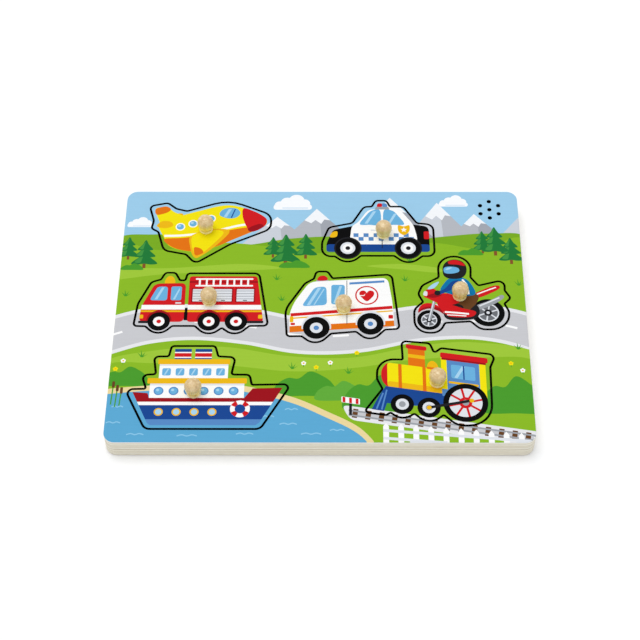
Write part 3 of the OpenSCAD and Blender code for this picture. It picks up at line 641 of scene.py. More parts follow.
def train():
    """Yellow steam engine with a blue cab, drawn level and then tipped with the railway."""
    fall = -0.155
    level_x = 70
    for ink, points in (
        ("orange", slab(62.6, -50.6, 74.6, -34)),
        ("amber", slab(62.6, -43, 74.6, -40)),
        ("red", slab(61.2, -35.4, 76, -31.8, 1.2)),
        ("red", smooth([(48.8, -51), (44.8, -54), (43.2, -60), (44.4, -66.6), (48.8, -69.4)])),
        ("yellow", slab(47.6, -70.4, 88, -49.8, 2.4)),
        ("amber", slab(47.6, -70.4, 88, -65.4, 2.4)),
        ("orange", slab(55.4, -70.4, 57.8, -49.8)),
        ("orange", slab(72.6, -70.4, 75, -49.8)),
        ("amber", smooth([
            (76.4, -50.6), (76.8, -45.8), (80, -43.4), (83.2, -45.8), (83.6, -50.6)
        ], steps=4)),
        ("orange", slab(75.6, -50.8, 84.4, -49, 0.7)),
        ("navy", [
            (46.4, -70), (110, -70), (110, -78), (60, -84), (47, -84), (44.8, -91), (36.2, -90.8),
            (41.4, -79)
        ]),
        ("blue", ribbon([(47, -73), (43.2, -90)], 1.1)),
        ("blue", ribbon([(44.4, -76), (39.6, -90)], 1.1)),
        ("blue", slab(86, -72, 117, -39, 0.8)),
        ("yellow", slab(86, -66, 90, -39)),
        ("yellow", slab(113, -72, 117.6, -39)),
        ("red", slab(85.6, -39.6, 119.4, -35, 1.6)),
        ("maroon", slab(86.4, -41.2, 118, -39.6)),
        ("amber", slab(91, -60.6, 112, -58.8, 0.6)),
    ):
        paint(ink, sloped(points, fall, level_x))
    window, glint = slab(93, -56, 110, -44.4, 1.4), streak(95, -55.4, 100.6, -45, 2.4)
    pane(sloped(window, fall, level_x), sloped(glint, fall, level_x))
    paint("navy", sloped(slab(101.4, -56, 102.4, -44.4), fall, level_x))
    for x, y in ((57.7, -81.4), (76.4, -84.2)):
        rings(x, y, ("black", 8.2), ("pale", 4.6), ("steel", 2.4))
    driver = (102.2, -80.2)
    rings(*driver, ("black", 15.8), ("pale", 11.8))
    spokes("red", *driver, 11.8, 1.6, 8, 12)
    rings(*driver, ("red", 4.6), ("steel", 2.4))
    rod = [(76.4, -84.2), (106.6, -78.4)]
    paint("coal", ribbon(rod, 2.2))
    for x, y in rod:
        rings(x, y, ("amber", 1.7))


for draw in (hills, road, lower_meadow, lake, railway,
             airplane, police_car, fire_engine, ambulance, motorcycle, ship, train):
    draw()


# Meshes: closed solids in millimetres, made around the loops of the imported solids.
# Each board has three finishes, named by the places of their materials.
PRINT, CUT, BARE = range(3)
# Radius of the rounded edge along the cuts and around the board, and the share of each that carries ink.
EASE = 0.3
INKED_EASE_SHARE = 0.25
ARRIS = 0.8
INKED_ARRIS_SHARE = 0.75
ARRIS_STEPS = 4
# Bevel at the foot of the face board, which shows as the seam between the two boards.
SEAM = 0.25
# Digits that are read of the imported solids' places and levels, and the height within which a face is level.
SPOT_DIGITS = 3
LEVEL_DIGITS = 2
LEVEL_SPAN = 0.005
# A loop whose radii differ by less than this is a circle, and is drawn with so many sides.
ROUND_SPAN = 0.02
BORE_STEPS = 40
# Points nearer than this move as one, and a sharp corner moves by at most the reach over the share.
NEAR = 0.05
LEAST_MITRE_SHARE = 0.5
# Settings of the triangulation: it keeps what lies in the loops, and takes points this near for one.
INSIDE_ONLY = 1
MERGE_SPAN = 0.0005
# Faces whose normals have this share upright are shaded flat, and edges over these degrees stay sharp.
UPRIGHT_SHARE = 0.999
BOARD_SHARP = 35
TURNED_SHARP = 50
LATHE_STEPS = 96


def flat_loops(node_name, z):
    """Outlines of a node's flat faces at a height, the widest first, each with its face on the left."""
    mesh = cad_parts[node_name].data
    mesh.calc_loop_triangles()
    spots = [tuple(round(c / MM, SPOT_DIGITS) for c in v.co.xy) for v in mesh.vertices]
    level = {v.index for v in mesh.vertices if abs(v.co.z / MM - z) < LEVEL_SPAN}
    sides = set()
    for triangle in mesh.loop_triangles:
        if level.issuperset(triangle.vertices):
            a, b, c = (spots[k] for k in triangle.vertices)
            if triangle.normal.z < 0:
                b, c = c, b
            sides.update(((a, b), (b, c), (c, a)))
    return sorted(chained(sides), key=lambda loop: -abs(area(loop)))


def inner_loops(node_name):
    """Outlines of a node's flat faces between its foot and its top, by height."""
    levels = sorted({round(v.co.z / MM, LEVEL_DIGITS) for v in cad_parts[node_name].data.vertices})
    return {z: loops for z in levels[1:-1] if (loops := flat_loops(node_name, z))}


def chained(sides):
    """Closed loops of the sides that have a face on one hand only."""
    following = {a: b for a, b in sides if (b, a) not in sides}
    loops = []
    while following:
        first, at = following.popitem()
        loop = [first]
        while at != first:
            loop.append(at)
            at = following.pop(at)
        loops.append(loop)
    return loops


def shifted(loop, reach):
    """Loop moved to its right, away from a face on its left. Points nearer than NEAR move as one."""
    moved = []
    for i, (x, y) in enumerate(loop):
        others = loop[i + 1:] + loop[:i]
        after = next(Vector(p) - Vector((x, y)) for p in others if math.dist(p, (x, y)) > NEAR)
        before = next(Vector((x, y)) - Vector(p) for p in others[::-1] if math.dist(p, (x, y)) > NEAR)
        way = (before.normalized() + after.normalized()).normalized()
        mitre = reach / max(LEAST_MITRE_SHARE, way.dot(after.normalized()))
        moved.append((x + way.y * mitre, y - way.x * mitre))
    return moved


def rounder(loop):
    """Finer circle in place of a loop that is one."""
    x, y = (sum(axis) / len(loop) for axis in zip(*loop))
    radii = [math.dist(p, (x, y)) for p in loop]
    if max(radii) - min(radii) > ROUND_SPAN:
        return loop
    ring = disc(x, y, max(radii), BORE_STEPS)
    return ring if area(loop) > 0 else ring[::-1]


def from_longest(loop):
    """Loop that begins with its longest side, from which the triangulation tells its inside."""
    first = max(range(len(loop)), key=lambda k: math.dist(loop[k - 1], loop[k])) - 1
    return loop[first:] + loop[:first]


def triangulated(loops, shapes=()):
    """Triangles inside the first loop and outside the others, each with the last shape that covers it."""
    faces = [from_longest(loop if area(loop) > 0 else loop[::-1]) for loop in loops]
    faces += [points for _, points in shapes]
    corners = [Vector(p) for face in faces for p in face]
    numbers = []
    for face in faces:
        first = numbers[-1][-1] + 1 if numbers else 0
        numbers.append(list(range(first, first + len(face))))
    points, _, triangles, _, _, sources = delaunay_2d_cdt(corners, [], numbers, INSIDE_ONLY, MERGE_SPAN)
    kept = []
    for triangle, source in zip(triangles, sources):
        if 0 in source and not any(0 < k < len(loops) for k in source):
            top = max(source) - len(loops)
            kept.append((triangle, shapes[top][0] if top >= 0 else None))
    return points, kept


def linear(colour):
    """Linear colour of an 8-bit sRGB one."""
    shares = [c / 255 for c in colour]
    return [s / 12.92 if s <= 0.04045 else ((s + 0.055) / 1.055) ** 2.4 for s in shares] + [1.0]


def meshed(name, points, faces, materials):
    """Smooth mesh of points in millimetres."""
    mesh = bpy.data.meshes.new(name)
    mesh.from_pydata([[c * MM for c in p] for p in points], [], faces, shade_flat=False)
    for material in materials:
        mesh.materials.append(material)
    return mesh


def in_scene(name, data):
    """Object of a mesh, a lamp or a camera, linked to the scene."""
    made = bpy.data.objects.new(name, data)
    bpy.context.scene.collection.objects.link(made)
    return made


class Solid:
    """Closed mesh in the making, with a finish and an ink on each face."""

    def __init__(self):
        self.points = []
        self.faces = []

    def ring(self, loop, z):
        """Adds points at a height and gives their numbers."""
        first = len(self.points)
        self.points += [(x, y, z) for x, y in loop]
        return list(range(first, len(self.points)))

    def skirt(self, upper, lower, finish=0, inks=None):
        """Band between two rings that faces to their right."""
        for k, ((a, b), (c, d)) in enumerate(zip(pairs(upper), pairs(lower))):
            self.faces.append(((a, c, d, b), finish, inks[k] if inks else None))

    def cap(self, rings, up, finish=0):
        """Flat face between the rings that are given by their points' numbers."""
        at = {tuple(Vector(self.points[k][:2])): k for ring in rings for k in ring}
        points, triangles = triangulated([[self.points[k][:2] for k in ring] for ring in rings])
        numbers = [at[tuple(p)] for p in points]
        for triangle, _ in triangles:
            corners = [numbers[k] for k in triangle]
            self.faces.append((corners if up else corners[::-1], finish, None))

    def piece(self, name, materials):
        """Makes the object, at the origin, with its place in its mesh."""
        mesh = meshed(name, self.points, [face[0] for face in self.faces], materials)
        inks = mesh.color_attributes.new("ink", "FLOAT_COLOR", "CORNER")
        colours = {ink: linear(colour) for ink, colour in INKS.items()}
        for polygon, (_, finish, ink) in zip(mesh.polygons, self.faces):
            polygon.material_index = finish
            polygon.use_smooth = abs(polygon.normal.z) < UPRIGHT_SHARE
            for corner in polygon.loop_indices:
                inks.data[corner].color = colours[ink or "white"]
        mesh.set_sharp_from_angle(angle=math.radians(BOARD_SHARP))
        return in_scene(name, mesh)


def printed_top(solid, outline, holes):
    """Adds the printed face. Gives its rims, the widest first: points, their numbers and the sides' inks."""
    reaches = [(min(axis), max(axis)) for axis in zip(*outline)]
    shapes = [
        (ink, points) for ink, points in SHAPES
        if all(max(axis) > low and min(axis) < high for axis, (low, high) in zip(zip(*points), reaches))
    ]
    points, triangles = triangulated([outline] + holes, shapes)
    used = sorted({corner for triangle, _ in triangles for corner in triangle})
    spots = {corner: tuple(points[corner]) for corner in used}
    number = dict(zip(used, solid.ring(spots.values(), FACE_TOP)))
    side_ink = {}
    for triangle, ink in triangles:
        solid.faces.append(([number[corner] for corner in triangle], PRINT, ink))
        side_ink.update((side, ink) for side in pairs(triangle))
    rims = [
        ([spots[corner] for corner in ring], [number[corner] for corner in ring],
         [side_ink[side] for side in pairs(ring)])
        for ring in chained(set(side_ink))
    ]
    return sorted(rims, key=lambda rim: -abs(area(rim[0])))


def eased(solid, rim, radius, inked_share, finish, bevel=0.0):
    """Wall below a rim of the print, with a rounded edge that is inked at its top. Gives its foot."""
    loop, upper, inks = rim
    for step in range(1, ARRIS_STEPS + 1):
        turn = math.pi / 2 * step / ARRIS_STEPS
        lower = solid.ring(shifted(loop, radius * math.sin(turn)), FACE_TOP - radius * (1 - math.cos(turn)))
        solid.skirt(upper, lower, PRINT if step <= inked_share * ARRIS_STEPS else finish, inks)
        upper = lower
    for inset in sorted({0.0, bevel}):
        lower = solid.ring(shifted(loop, radius - inset), FACE_FOOT + bevel - inset)
        solid.skirt(upper, lower, finish, inks)
        upper = lower
    return upper


def printed_face(materials):
    """Face board: the print, a broad rounded edge, the cuts around the pieces and the wells underneath."""
    outer, *openings = flat_loops("face_board", FACE_TOP)
    solid = Solid()
    rims = printed_top(solid, outer, [shifted(rounder(loop), -EASE) for loop in openings])
    feet = [eased(solid, rims[0], ARRIS, INKED_ARRIS_SHARE, BARE, SEAM)]
    feet += [eased(solid, rim, EASE, INKED_EASE_SHARE, CUT) for rim in rims[1:]]
    for z, loops in inner_loops("face_board").items():
        for loop in loops:
            ceiling = solid.ring(loop[::-1], z)
            feet.append(solid.ring(loop[::-1], FACE_FOOT))
            solid.skirt(ceiling, feet[-1], BARE)
            solid.cap([ceiling], False, BARE)
    solid.cap(feet, False, BARE)
    return solid.piece("printed_face", materials)


def printed_piece(vehicle, materials):
    """Vehicle cut from the face: the print, a fine rounded edge and the bore for its peg."""
    outer, *bores = flat_loops(vehicle + "_piece", FACE_TOP)
    solid = Solid()
    rims = printed_top(solid, shifted(outer, -EASE), [rounder(loop) for loop in bores])
    foot = eased(solid, rims[0], EASE, INKED_EASE_SHARE, CUT)
    for loop, ring, inks in rims[1:]:
        floor_ring = solid.ring(loop, min(inner_loops(vehicle + "_piece")))
        solid.skirt(ring, floor_ring, CUT, inks)
        solid.cap([floor_ring], True, CUT)
    solid.cap([foot], False, BARE)
    return solid.piece(vehicle + "_printed", materials)


def sleeve(rows):
    """Faces between rows of point numbers that each close on themselves."""
    faces = []
    for low, high in zip(rows, rows[1:]):
        faces += [(a, b, d, c) for (a, b), (c, d) in zip(pairs(low), pairs(high))]
    return faces


def lathed(name, line, material):
    """Mesh turned from a line of radii and heights that begins and ends on the axis."""
    points, rows = [], []
    for r, z in line[1:-1]:
        rows.append(list(range(len(points), len(points) + LATHE_STEPS)))
        points += [(x, y, z) for x, y in disc(0, 0, r, LATHE_STEPS)]
    foot, tip = len(points), len(points) + 1
    points += [(0, 0, line[0][1]), (0, 0, line[-1][1])]
    ends = [(b, a, foot) for a, b in pairs(rows[0])] + [(a, b, tip) for a, b in pairs(rows[-1])]
    mesh = meshed(name, points, sleeve(rows) + ends, [material])
    mesh.set_sharp_from_angle(angle=math.radians(TURNED_SHARP))
    return mesh


# Turned pegs, in millimetres and with heights above the face, as in the part's source.
PEG_H = 14.0
PEG_HEAD_D = 12.2
PEG_HEAD_Z = 8.0
PEG_CREASE_D = 9.6
PEG_CREASE_Z = 2.7
PEG_FOOT_D = 10.3
PEG_STEPS = 16
FOOT_EASE = 0.3
# Ring that the turning tool left on the head, at an angle in degrees up from the widest line.
TOOL_RING_TURN = 62
TOOL_RING_SINK = 0.12
TOOL_RING_HALF_TURN = 2.5
# Groove in the crease, and the painted shade in it.
CREASE_SINK = 0.15
CREASE_HALF_W = 0.3
CREASE_SHADE_HALF_W = 0.6
# Heights between which the wood turns from a lighter tone, painted light that stands in for light bounced up
# from the board, to its plain tone on the head.
BOUNCE_LIT_TO_Z = 5.0
PLAIN_TONE_FROM_Z = 11.0

# The cuts are black to a depth below the face and brown from a greater one on: the brown is char, the black
# is char with painted shade of the narrow gap.
CHAR_AND_SHADE_DEPTH = 2.5
CHAR_AND_SHADE_FADE = 5.0
# Height by which the plies waver up and down.
PLY_WAVER = 0.22

# Materials: each is built from nodes on the object's own coordinates, in metres.
# Range that holds most of what a noise gives.
NOISE_LOW = 0.3
NOISE_HIGH = 0.7
# Roughness: half its range on a plain finish, and its value on the circuit board and the sensors.
ROUGHNESS_SWING = 0.08
CIRCUIT_ROUGHNESS = 0.3
SENSOR_ROUGHNESS = 0.25


def new_material(name, roughness=0.5, colour=None, **sockets):
    """Material with its constants set on the shader. Gives the material and its shader."""
    material = bpy.data.materials.new(name)
    material.use_nodes = True
    shader = material.node_tree.nodes["Principled BSDF"]
    shader.inputs["Roughness"].default_value = roughness
    if colour:
        shader.inputs["Base Color"].default_value = linear(colour)
    for socket, value in sockets.items():
        shader.inputs[socket.replace("_", " ")].default_value = value
    return material, shader


def node(near, kind, inputs=None, **settings):
    """Adds a shader node to the tree of a node or socket. Its inputs are constants or sockets."""
    made = near.id_data.nodes.new("ShaderNode" + kind)
    for key, value in settings.items():
        setattr(made, key, value)
    for key, value in (inputs or {}).items():
        feed(made.inputs[key], value)
    return made


def feed(socket, value):
    """Links a socket to another, or sets its constant."""
    if isinstance(value, bpy.types.NodeSocket):
        socket.id_data.links.new(value, socket)
    else:
        socket.default_value = value


def math_node(operation, a, b=0.0):
    """Result of an operation on two values."""
    return node(a, "Math", {0: a, 1: b}, operation=operation).outputs[0]


def mixed(factor, a, b, blend="MIX"):
    """Colour between two others."""
    made = node(factor, "Mix", data_type="RGBA", blend_type=blend)
    # The node has sockets for each kind of data. These are its factor and its two colours.
    for place, value in ((0, factor), (6, a), (7, b)):
        feed(made.inputs[place], value)
    return made.outputs[2]


def darkened(colour, factor, tint):
    """Colour multiplied by a tint of linear shares."""
    return mixed(factor, colour, (*tint, 1.0), "MULTIPLY")


def here(shader):
    """Coordinates on the object, in metres."""
    return node(shader, "TexCoord").outputs["Object"]


def along(spot, axis):
    """One coordinate of a place."""
    return node(spot, "SeparateXYZ", {"Vector": spot}).outputs[axis]


def noise(spot, stretch, detail=3.0, roughness=0.55):
    """Noise whose features are 1/stretch metres long along each axis."""
    scaled = node(spot, "Mapping", {"Vector": spot, "Scale": stretch}).outputs[0]
    inputs = {"Vector": scaled, "Scale": 1.0, "Detail": detail, "Roughness": roughness}
    return node(spot, "TexNoise", inputs).outputs["Fac"]


def ramp(factor, *stops):
    """Colour picked along stops of place and 8-bit colour."""
    made = node(factor, "ValToRGB", {"Fac": factor})
    band = made.color_ramp
    while len(band.elements) < len(stops):
        band.elements.new(0.5)
    for element, (place, colour) in zip(band.elements, stops):
        element.position = place
        element.color = linear(colour)
    return made.outputs["Color"]


def tones(tone, *colours):
    """Colour picked along the usual range of a noise."""
    step = (NOISE_HIGH - NOISE_LOW) / (len(colours) - 1)
    return ramp(tone, *((NOISE_LOW + step * k, colour) for k, colour in enumerate(colours)))


def span(value, low, high, to_low=0.0, to_high=1.0):
    """Value carried from one range to another."""
    inputs = {"Value": value, "From Min": low, "From Max": high, "To Min": to_low, "To Max": to_high}
    return node(value, "MapRange", inputs).outputs[0]


def swing(tone, to_low, to_high):
    """Usual range of a noise carried to another."""
    return span(tone, NOISE_LOW, NOISE_HIGH, to_low, to_high)


def finish(shader, colour, roughness, height, strength, depth):
    """Feeds a shader its colour, its roughness and a fine relief, of a depth in millimetres."""
    relief = node(shader, "Bump", {"Height": height, "Strength": strength, "Distance": depth * MM})
    feed(shader.inputs["Base Color"], colour)
    feed(shader.inputs["Roughness"], roughness)
    feed(shader.inputs["Normal"], relief.outputs[0])


def print_material():
    """Ink under a satin varnish, with a trace of the wood's grain."""
    material, shader = new_material("print_on_ply", Specular_IOR_Level=0.04)
    ink = node(shader, "VertexColor", layer_name="ink").outputs["Color"]
    spot = here(shader)
    grain = noise(spot, (28, 900, 900), detail=4.0)
    mottle = noise(spot, (420, 420, 420), detail=2.0)
    worn = darkened(ink, span(grain, 0.42, 0.7, 0.0, 0.05), (0.55, 0.45, 0.32))
    spotted = darkened(worn, span(mottle, 0.3, 0.75, 0.0, 0.04), (0.8, 0.8, 0.8))
    finish(shader, spotted, swing(grain, 0.4, 0.52), grain, 0.12, 0.2)
    return material


def ply_layers(spot):
    """Colours of the plies, by share of the height, with glue lines, a little waver, painted contact shadow
    at the foot and a painted highlight at the top.
    """
    waver = span(noise(spot, (60, 60, 300)), 0.25, 0.75, -PLY_WAVER * MM, PLY_WAVER * MM)
    share = span(math_node("ADD", along(spot, "Z"), waver), 0.0, FACE_TOP * MM)
    light, pale, warm = (232, 227, 208), (238, 234, 219), (226, 219, 199)
    dark, shade, glue, primer_and_highlight = (188, 179, 155), (148, 140, 120), (174, 160, 132), (250, 250, 246)
    # The lowest stops, shade and dark, are painted contact shadow along the foot of the edge. The primer at
    # the top is white under the print and also a painted highlight along the arris.
    return ramp(
        share, (0.0, shade), (0.035, dark), (0.08, light), (0.145, pale), (0.155, glue), (0.165, warm),
        (0.29, warm), (0.3, glue), (0.31, light), (0.425, light), (0.437, glue), (0.455, glue), (0.47, pale),
        (0.585, light), (0.595, glue), (0.605, warm), (0.72, warm), (0.73, glue), (0.74, light),
        (0.86, pale), (0.87, glue), (0.88, warm), (0.93, pale), (0.955, primer_and_highlight)
    )


def ply_material():
    """Sanded plywood: long grain on its faces, its layers on its edges."""
    material, shader = new_material("sanded_ply")
    spot = here(shader)
    fibre = noise(spot, (420, 420, 3200))
    flecks = noise(spot, (90, 90, 1500), detail=2.0)
    fibrous = darkened(ply_layers(spot), span(fibre, 0.35, 0.75, 0.0, 0.16), (0.5, 0.38, 0.24))
    edge = mixed(span(flecks, 0.64, 0.7, 0.0, 0.35), fibrous, linear((150, 122, 88)))
    grain = noise(spot, (22, 700, 700), detail=5.0, roughness=0.6)
    broad = noise(spot, (9, 60, 60))
    veneer = tones(grain, (206, 184, 148), (228, 212, 182), (236, 224, 198))
    face = mixed(swing(broad, 0.0, 0.35), veneer, linear((214, 190, 150)))
    tilt = along(node(shader, "NewGeometry").outputs["Normal"], "Z")
    flat = span(math_node("ABSOLUTE", tilt), 0.7, 0.9)
    finish(shader, mixed(flat, edge, face), swing(grain, 0.55, 0.7), fibre, 0.25, 0.2)
    return material


def cut_material():
    """Edge left by the cutting beam: plies browned, with fine upright streaks, and black near the face, which
    is char and painted shade of the narrow gap.
    """
    material, shader = new_material("browned_cut", Specular_IOR_Level=0.0)
    spot = here(shader)
    streaks = noise(spot, (2600, 2600, 60), detail=2.0)
    # Char and painted shade: near the face the cut is black, so that the narrow gap reads black from above.
    near_face = span(along(spot, "Z"), (FACE_TOP - CHAR_AND_SHADE_FADE) * MM, (FACE_TOP - CHAR_AND_SHADE_DEPTH) * MM)
    brown = darkened(ply_layers(spot), span(streaks, 0.3, 0.72, 0.9, 1.0), (0.06, 0.036, 0.022))
    char_and_gap_shade = mixed(near_face, brown, linear((6, 5, 5)))
    finish(shader, char_and_gap_shade, swing(streaks, 0.6, 0.8), streaks, 0.3, 0.2)
    return material


def peg_material():
    """Waxed pale wood with growth rings, painted lighter low down for light bounced up from the board, and
    with painted shade in its crease.
    """
    material, shader = new_material("turned_pale_wood", Coat_Weight=0.5, Coat_Roughness=0.24)
    spot = here(shader)
    height = along(spot, "Z")
    offset = node(shader, "ObjectInfo").outputs["Random"]
    shift = node(shader, "CombineXYZ", {"X": offset, "Y": offset, "Z": offset}).outputs[0]
    own_spot = node(shader, "VectorMath", {0: spot, 1: shift}, operation="ADD").outputs[0]
    fibre = noise(own_spot, (460, 460, 60), roughness=0.5)
    growth = node(shader, "TexWave", {
        "Vector": own_spot, "Scale": 190.0, "Distortion": 5.0, "Detail": 3.0, "Detail Scale": 0.6
    }, wave_type="BANDS", bands_direction="DIAGONAL").outputs["Fac"]
    # Painted light: the foot and the lower head are lighter than the wood's plain tone, standing in for light
    # bounced up from the board.
    plain_tone = tones(fibre, (210, 178, 125), (226, 195, 141), (242, 217, 168))
    bounce_lit = tones(fibre, (246, 218, 116), (255, 237, 130), (255, 246, 152))
    pale = tones(fibre, (250, 234, 192), (255, 244, 208), (255, 250, 224))
    upper = mixed(span(height, BOUNCE_LIT_TO_Z * MM, PLAIN_TONE_FROM_Z * MM), bounce_lit, plain_tone)
    base = mixed(span(height, 0.0, PEG_CREASE_Z * MM), pale, upper)
    ringed = darkened(base, span(growth, 0.0, 1.0, 0.0, 0.1), (0.72, 0.5, 0.28))
    # Painted shade: the wood is darkened along the crease, where the head overhangs the foot.
    off_crease = math_node("ABSOLUTE", math_node("SUBTRACT", height, PEG_CREASE_Z * MM))
    crease_shade = span(off_crease, 0.0, CREASE_SHADE_HALF_W * MM, 0.9, 0.0)
    crease_shaded = darkened(ringed, crease_shade, (0.46, 0.3, 0.16))
    marks = noise(spot, (40, 40, 4200), detail=2.0)
    finish(shader, crease_shaded, swing(fibre, 0.3, 0.44), marks, 0.12, 0.1)
    return material


def speckled(name, dark, light, grain, roughness, relief, grain_x=None, **sockets):
    """Material of two close tones, mottled at one grain, with relief at the same grain."""
    material, shader = new_material(name, roughness, **sockets)
    tone = noise(here(shader), (grain_x or grain, grain, grain), detail=4.0)
    rough = swing(tone, roughness - ROUGHNESS_SWING, roughness + ROUGHNESS_SWING)
    finish(shader, tones(tone, dark, light), rough, tone, relief, 0.3)
    return material


def circuit_material():
    """Green laminate with copper tracks under the mask."""
    material, shader = new_material("green_laminate", Coat_Weight=0.4)
    spot = here(shader)
    tracks = node(shader, "TexBrick", {
        "Vector": spot, "Scale": 420.0, "Mortar Size": 0.08, "Color1": linear((14, 96, 52)),
        "Color2": linear((16, 104, 56)), "Mortar": linear((66, 150, 84))
    }, offset=0.37, squash=0.6)
    shade = swing(noise(spot, (300, 300, 300)), 0.0, 0.2)
    laminate = darkened(tracks.outputs["Color"], shade, (0.3, 0.5, 0.3))
    finish(shader, laminate, CIRCUIT_ROUGHNESS, tracks.outputs["Fac"], 0.2, 0.1)
    return material


def sensor_material():
    """Pale resin with the sensor's dark wavy track across it."""
    material, shader = new_material("sensor_resin", Coat_Weight=0.5)
    track = node(shader, "TexWave", {
        "Vector": here(shader), "Scale": 420.0, "Distortion": 3.0, "Detail Scale": 2.0
    }, bands_direction="X", wave_profile="TRI").outputs["Fac"]
    colour = ramp(track, (0.3, (120, 52, 30)), (0.42, (216, 196, 160)))
    finish(shader, colour, SENSOR_ROUGHNESS, track, 0.15, 0.1)
    return material


def cell_material(low_x, high_x):
    """Wrapped cells: a copper coloured end, a dark sleeve and bare steel poles."""
    material, shader = new_material("cell_wrap", 0.32, Coat_Weight=0.3)
    spot = here(shader)
    bands = ramp(
        span(along(spot, "X"), low_x, high_x), (0.0, (186, 186, 188)), (0.02, (196, 112, 40)),
        (0.3, (198, 116, 44)), (0.31, (30, 30, 33)), (0.97, (32, 32, 35)), (0.98, (188, 188, 190))
    )
    scuff = span(noise(spot, (500, 900, 900)), 0.4, 0.8, 0.0, 0.25)
    feed(shader.inputs["Base Color"], darkened(bands, scuff, (0.5, 0.5, 0.5)))
    return material


# Printed pieces, boards and pegs.
turned = peg_material()
ply = ply_material()
browned = cut_material()
wood = (print_material(), browned, ply)

face = printed_face(wood)
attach(face, "board")
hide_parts("face_board")


def peg_line(tenon_r, tenon_l):
    """Radii and heights of the peg from the end of its tenon to its top."""
    head_r, crease_r, foot_r = PEG_HEAD_D / 2, PEG_CREASE_D / 2, PEG_FOOT_D / 2
    tenon = [(0, -tenon_l), (tenon_r - FOOT_EASE, -tenon_l), (tenon_r, FOOT_EASE - tenon_l), (tenon_r, 0)]
    body = []
    for k in range(PEG_STEPS + 1):
        z = FOOT_EASE + (PEG_CREASE_Z - FOOT_EASE) * k / PEG_STEPS
        body.append((crease_r + (foot_r - crease_r) * math.cos(math.pi / 2 * z / PEG_CREASE_Z), z))
    for k in range(1, 2 * PEG_STEPS + 1):
        share = 1 - k / (2 * PEG_STEPS)
        z = PEG_HEAD_Z - (PEG_HEAD_Z - PEG_CREASE_Z) * share
        body.append((head_r - (head_r - crease_r) * share * share, z))
    body = [(r - CREASE_SINK * math.exp(-((z - PEG_CREASE_Z) / CREASE_HALF_W) ** 2), z) for r, z in body]
    for k in range(1, 2 * PEG_STEPS):
        turn = 90 * k / (2 * PEG_STEPS)
        sink = TOOL_RING_SINK * math.exp(-((turn - TOOL_RING_TURN) / TOOL_RING_HALF_TURN) ** 2)
        z = PEG_HEAD_Z + (PEG_H - PEG_HEAD_Z - sink) * math.sin(math.radians(turn))
        body.append(((head_r - sink) * math.cos(math.radians(turn)), z))
    return tenon + [(foot_r - FOOT_EASE, 0)] + body + [(0, PEG_H)]


for vehicle in VEHICLES:
    piece = printed_piece(vehicle, wood)
    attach(piece, vehicle)
    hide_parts(vehicle + "_piece")

    low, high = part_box(vehicle + "_peg")
    middle = (low + high) / 2
    corners = [v.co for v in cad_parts[vehicle + "_peg"].data.vertices]
    tenon_r = max(math.dist(corner.xy, middle.xy) for corner in corners if corner.z < low.z + MM) / MM
    line = peg_line(tenon_r, FACE_TOP - low.z / MM)
    peg = in_scene(vehicle + "_turned_peg", lathed("turned_peg", line, turned))
    peg.location = (middle.x, middle.y, FACE_TOP * MM)
    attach(peg, vehicle)
    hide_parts(vehicle + "_peg")

# Painted shade: a thin dark band on the base below each cut, where the narrow gap lies in shade.
GAP_SHADE_H = 0.05
GAP_SHADE_INSET = 0.05


def soot_lines(material):
    """Thin dark closed bands on the base, one in the gap around each piece, as painted shade."""
    recesses = flat_loops("face_board", FACE_TOP)[1:]
    solid = Solid()
    for vehicle in VEHICLES:
        outline = flat_loops(vehicle + "_piece", FACE_TOP)[0]
        recess = min(recesses, key=lambda loop: math.dist(min(loop), min(outline)))
        sides = [shifted(loop, GAP_SHADE_INSET)[::-1] for loop in (recess, outline)]
        tops = [solid.ring(side, FACE_FOOT + GAP_SHADE_H) for side in sides]
        feet = [solid.ring(side, FACE_FOOT) for side in sides]
        for top, foot in zip(tops, feet):
            solid.skirt(top, foot)
        solid.cap(tops, True)
        solid.cap(feet, False)
    return solid.piece("soot_lines", [material])


gap_shade = soot_lines(browned)
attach(gap_shade, "board")


def dress(material, *names):
    """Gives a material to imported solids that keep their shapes."""
    for name in names:
        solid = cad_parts[name]
        if not solid.material_slots:
            solid.data.materials.append(material)
        for place in solid.material_slots:
            place.material = material


# The plain finishes are given by two tones, grains per metre, roughness and strength of relief.
plastic = speckled("moulded_plastic", (30, 30, 32), (44, 44, 47), 2600, 0.55, 0.35)
dress(plastic, "battery_box", "battery_door")
dress(speckled("zinc_steel", (176, 178, 182), (204, 206, 208), 900, 0.34, 0.1, Metallic=1.0),
      "panel_screws", "circuit_screws", "door_screw")
dress(speckled("red_lead", (168, 26, 22), (196, 38, 32), 700, 0.42, 0.08), "sensor_leads", "battery_lead")
dress(speckled("yellow_lead", (206, 168, 24), (226, 190, 44), 700, 0.42, 0.08), "speaker_lead")
dress(speckled("pressed_hardboard", (92, 60, 36), (134, 92, 58), 620, 0.62, 0.45, grain_x=380), "back_panel")
dress(speckled("black_steel", (36, 36, 38), (54, 54, 57), 800, 0.4, 0.1, Metallic=0.7), "speaker_basket")
dress(speckled("nickel", (150, 150, 154), (184, 184, 188), 600, 0.3, 0.08, Metallic=1.0), "speaker_magnet")
dress(speckled("cone_film", (18, 18, 20), (36, 36, 38), 1500, 0.6, 0.2), "speaker_cone")
dress(speckled("chip_resin", (10, 10, 11), (22, 22, 24), 500, 0.24, 0.1), "sound_chip")
dress(speckled("contact_nickel", (196, 192, 184), (222, 218, 210), 900, 0.26, 0.1, Metallic=1.0),
      "battery_contacts")
dress(ply, "base_board")
dress(circuit_material(), "circuit_board")
dress(sensor_material(), "light_sensors")
dress(cell_material(*(corner.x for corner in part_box("battery_cells"))), "battery_cells")

# Grip ribs on the battery door, at the end away from its screw.
RIB_H = 0.22
RIB_W = 1.1
RIB_PITCH = 2.2
RIB_COUNT = 6
RIB_INSET = 9.0
RIB_STEPS = 8
RIB_HALF_SHARE = 0.3
RIB_END = 0.6


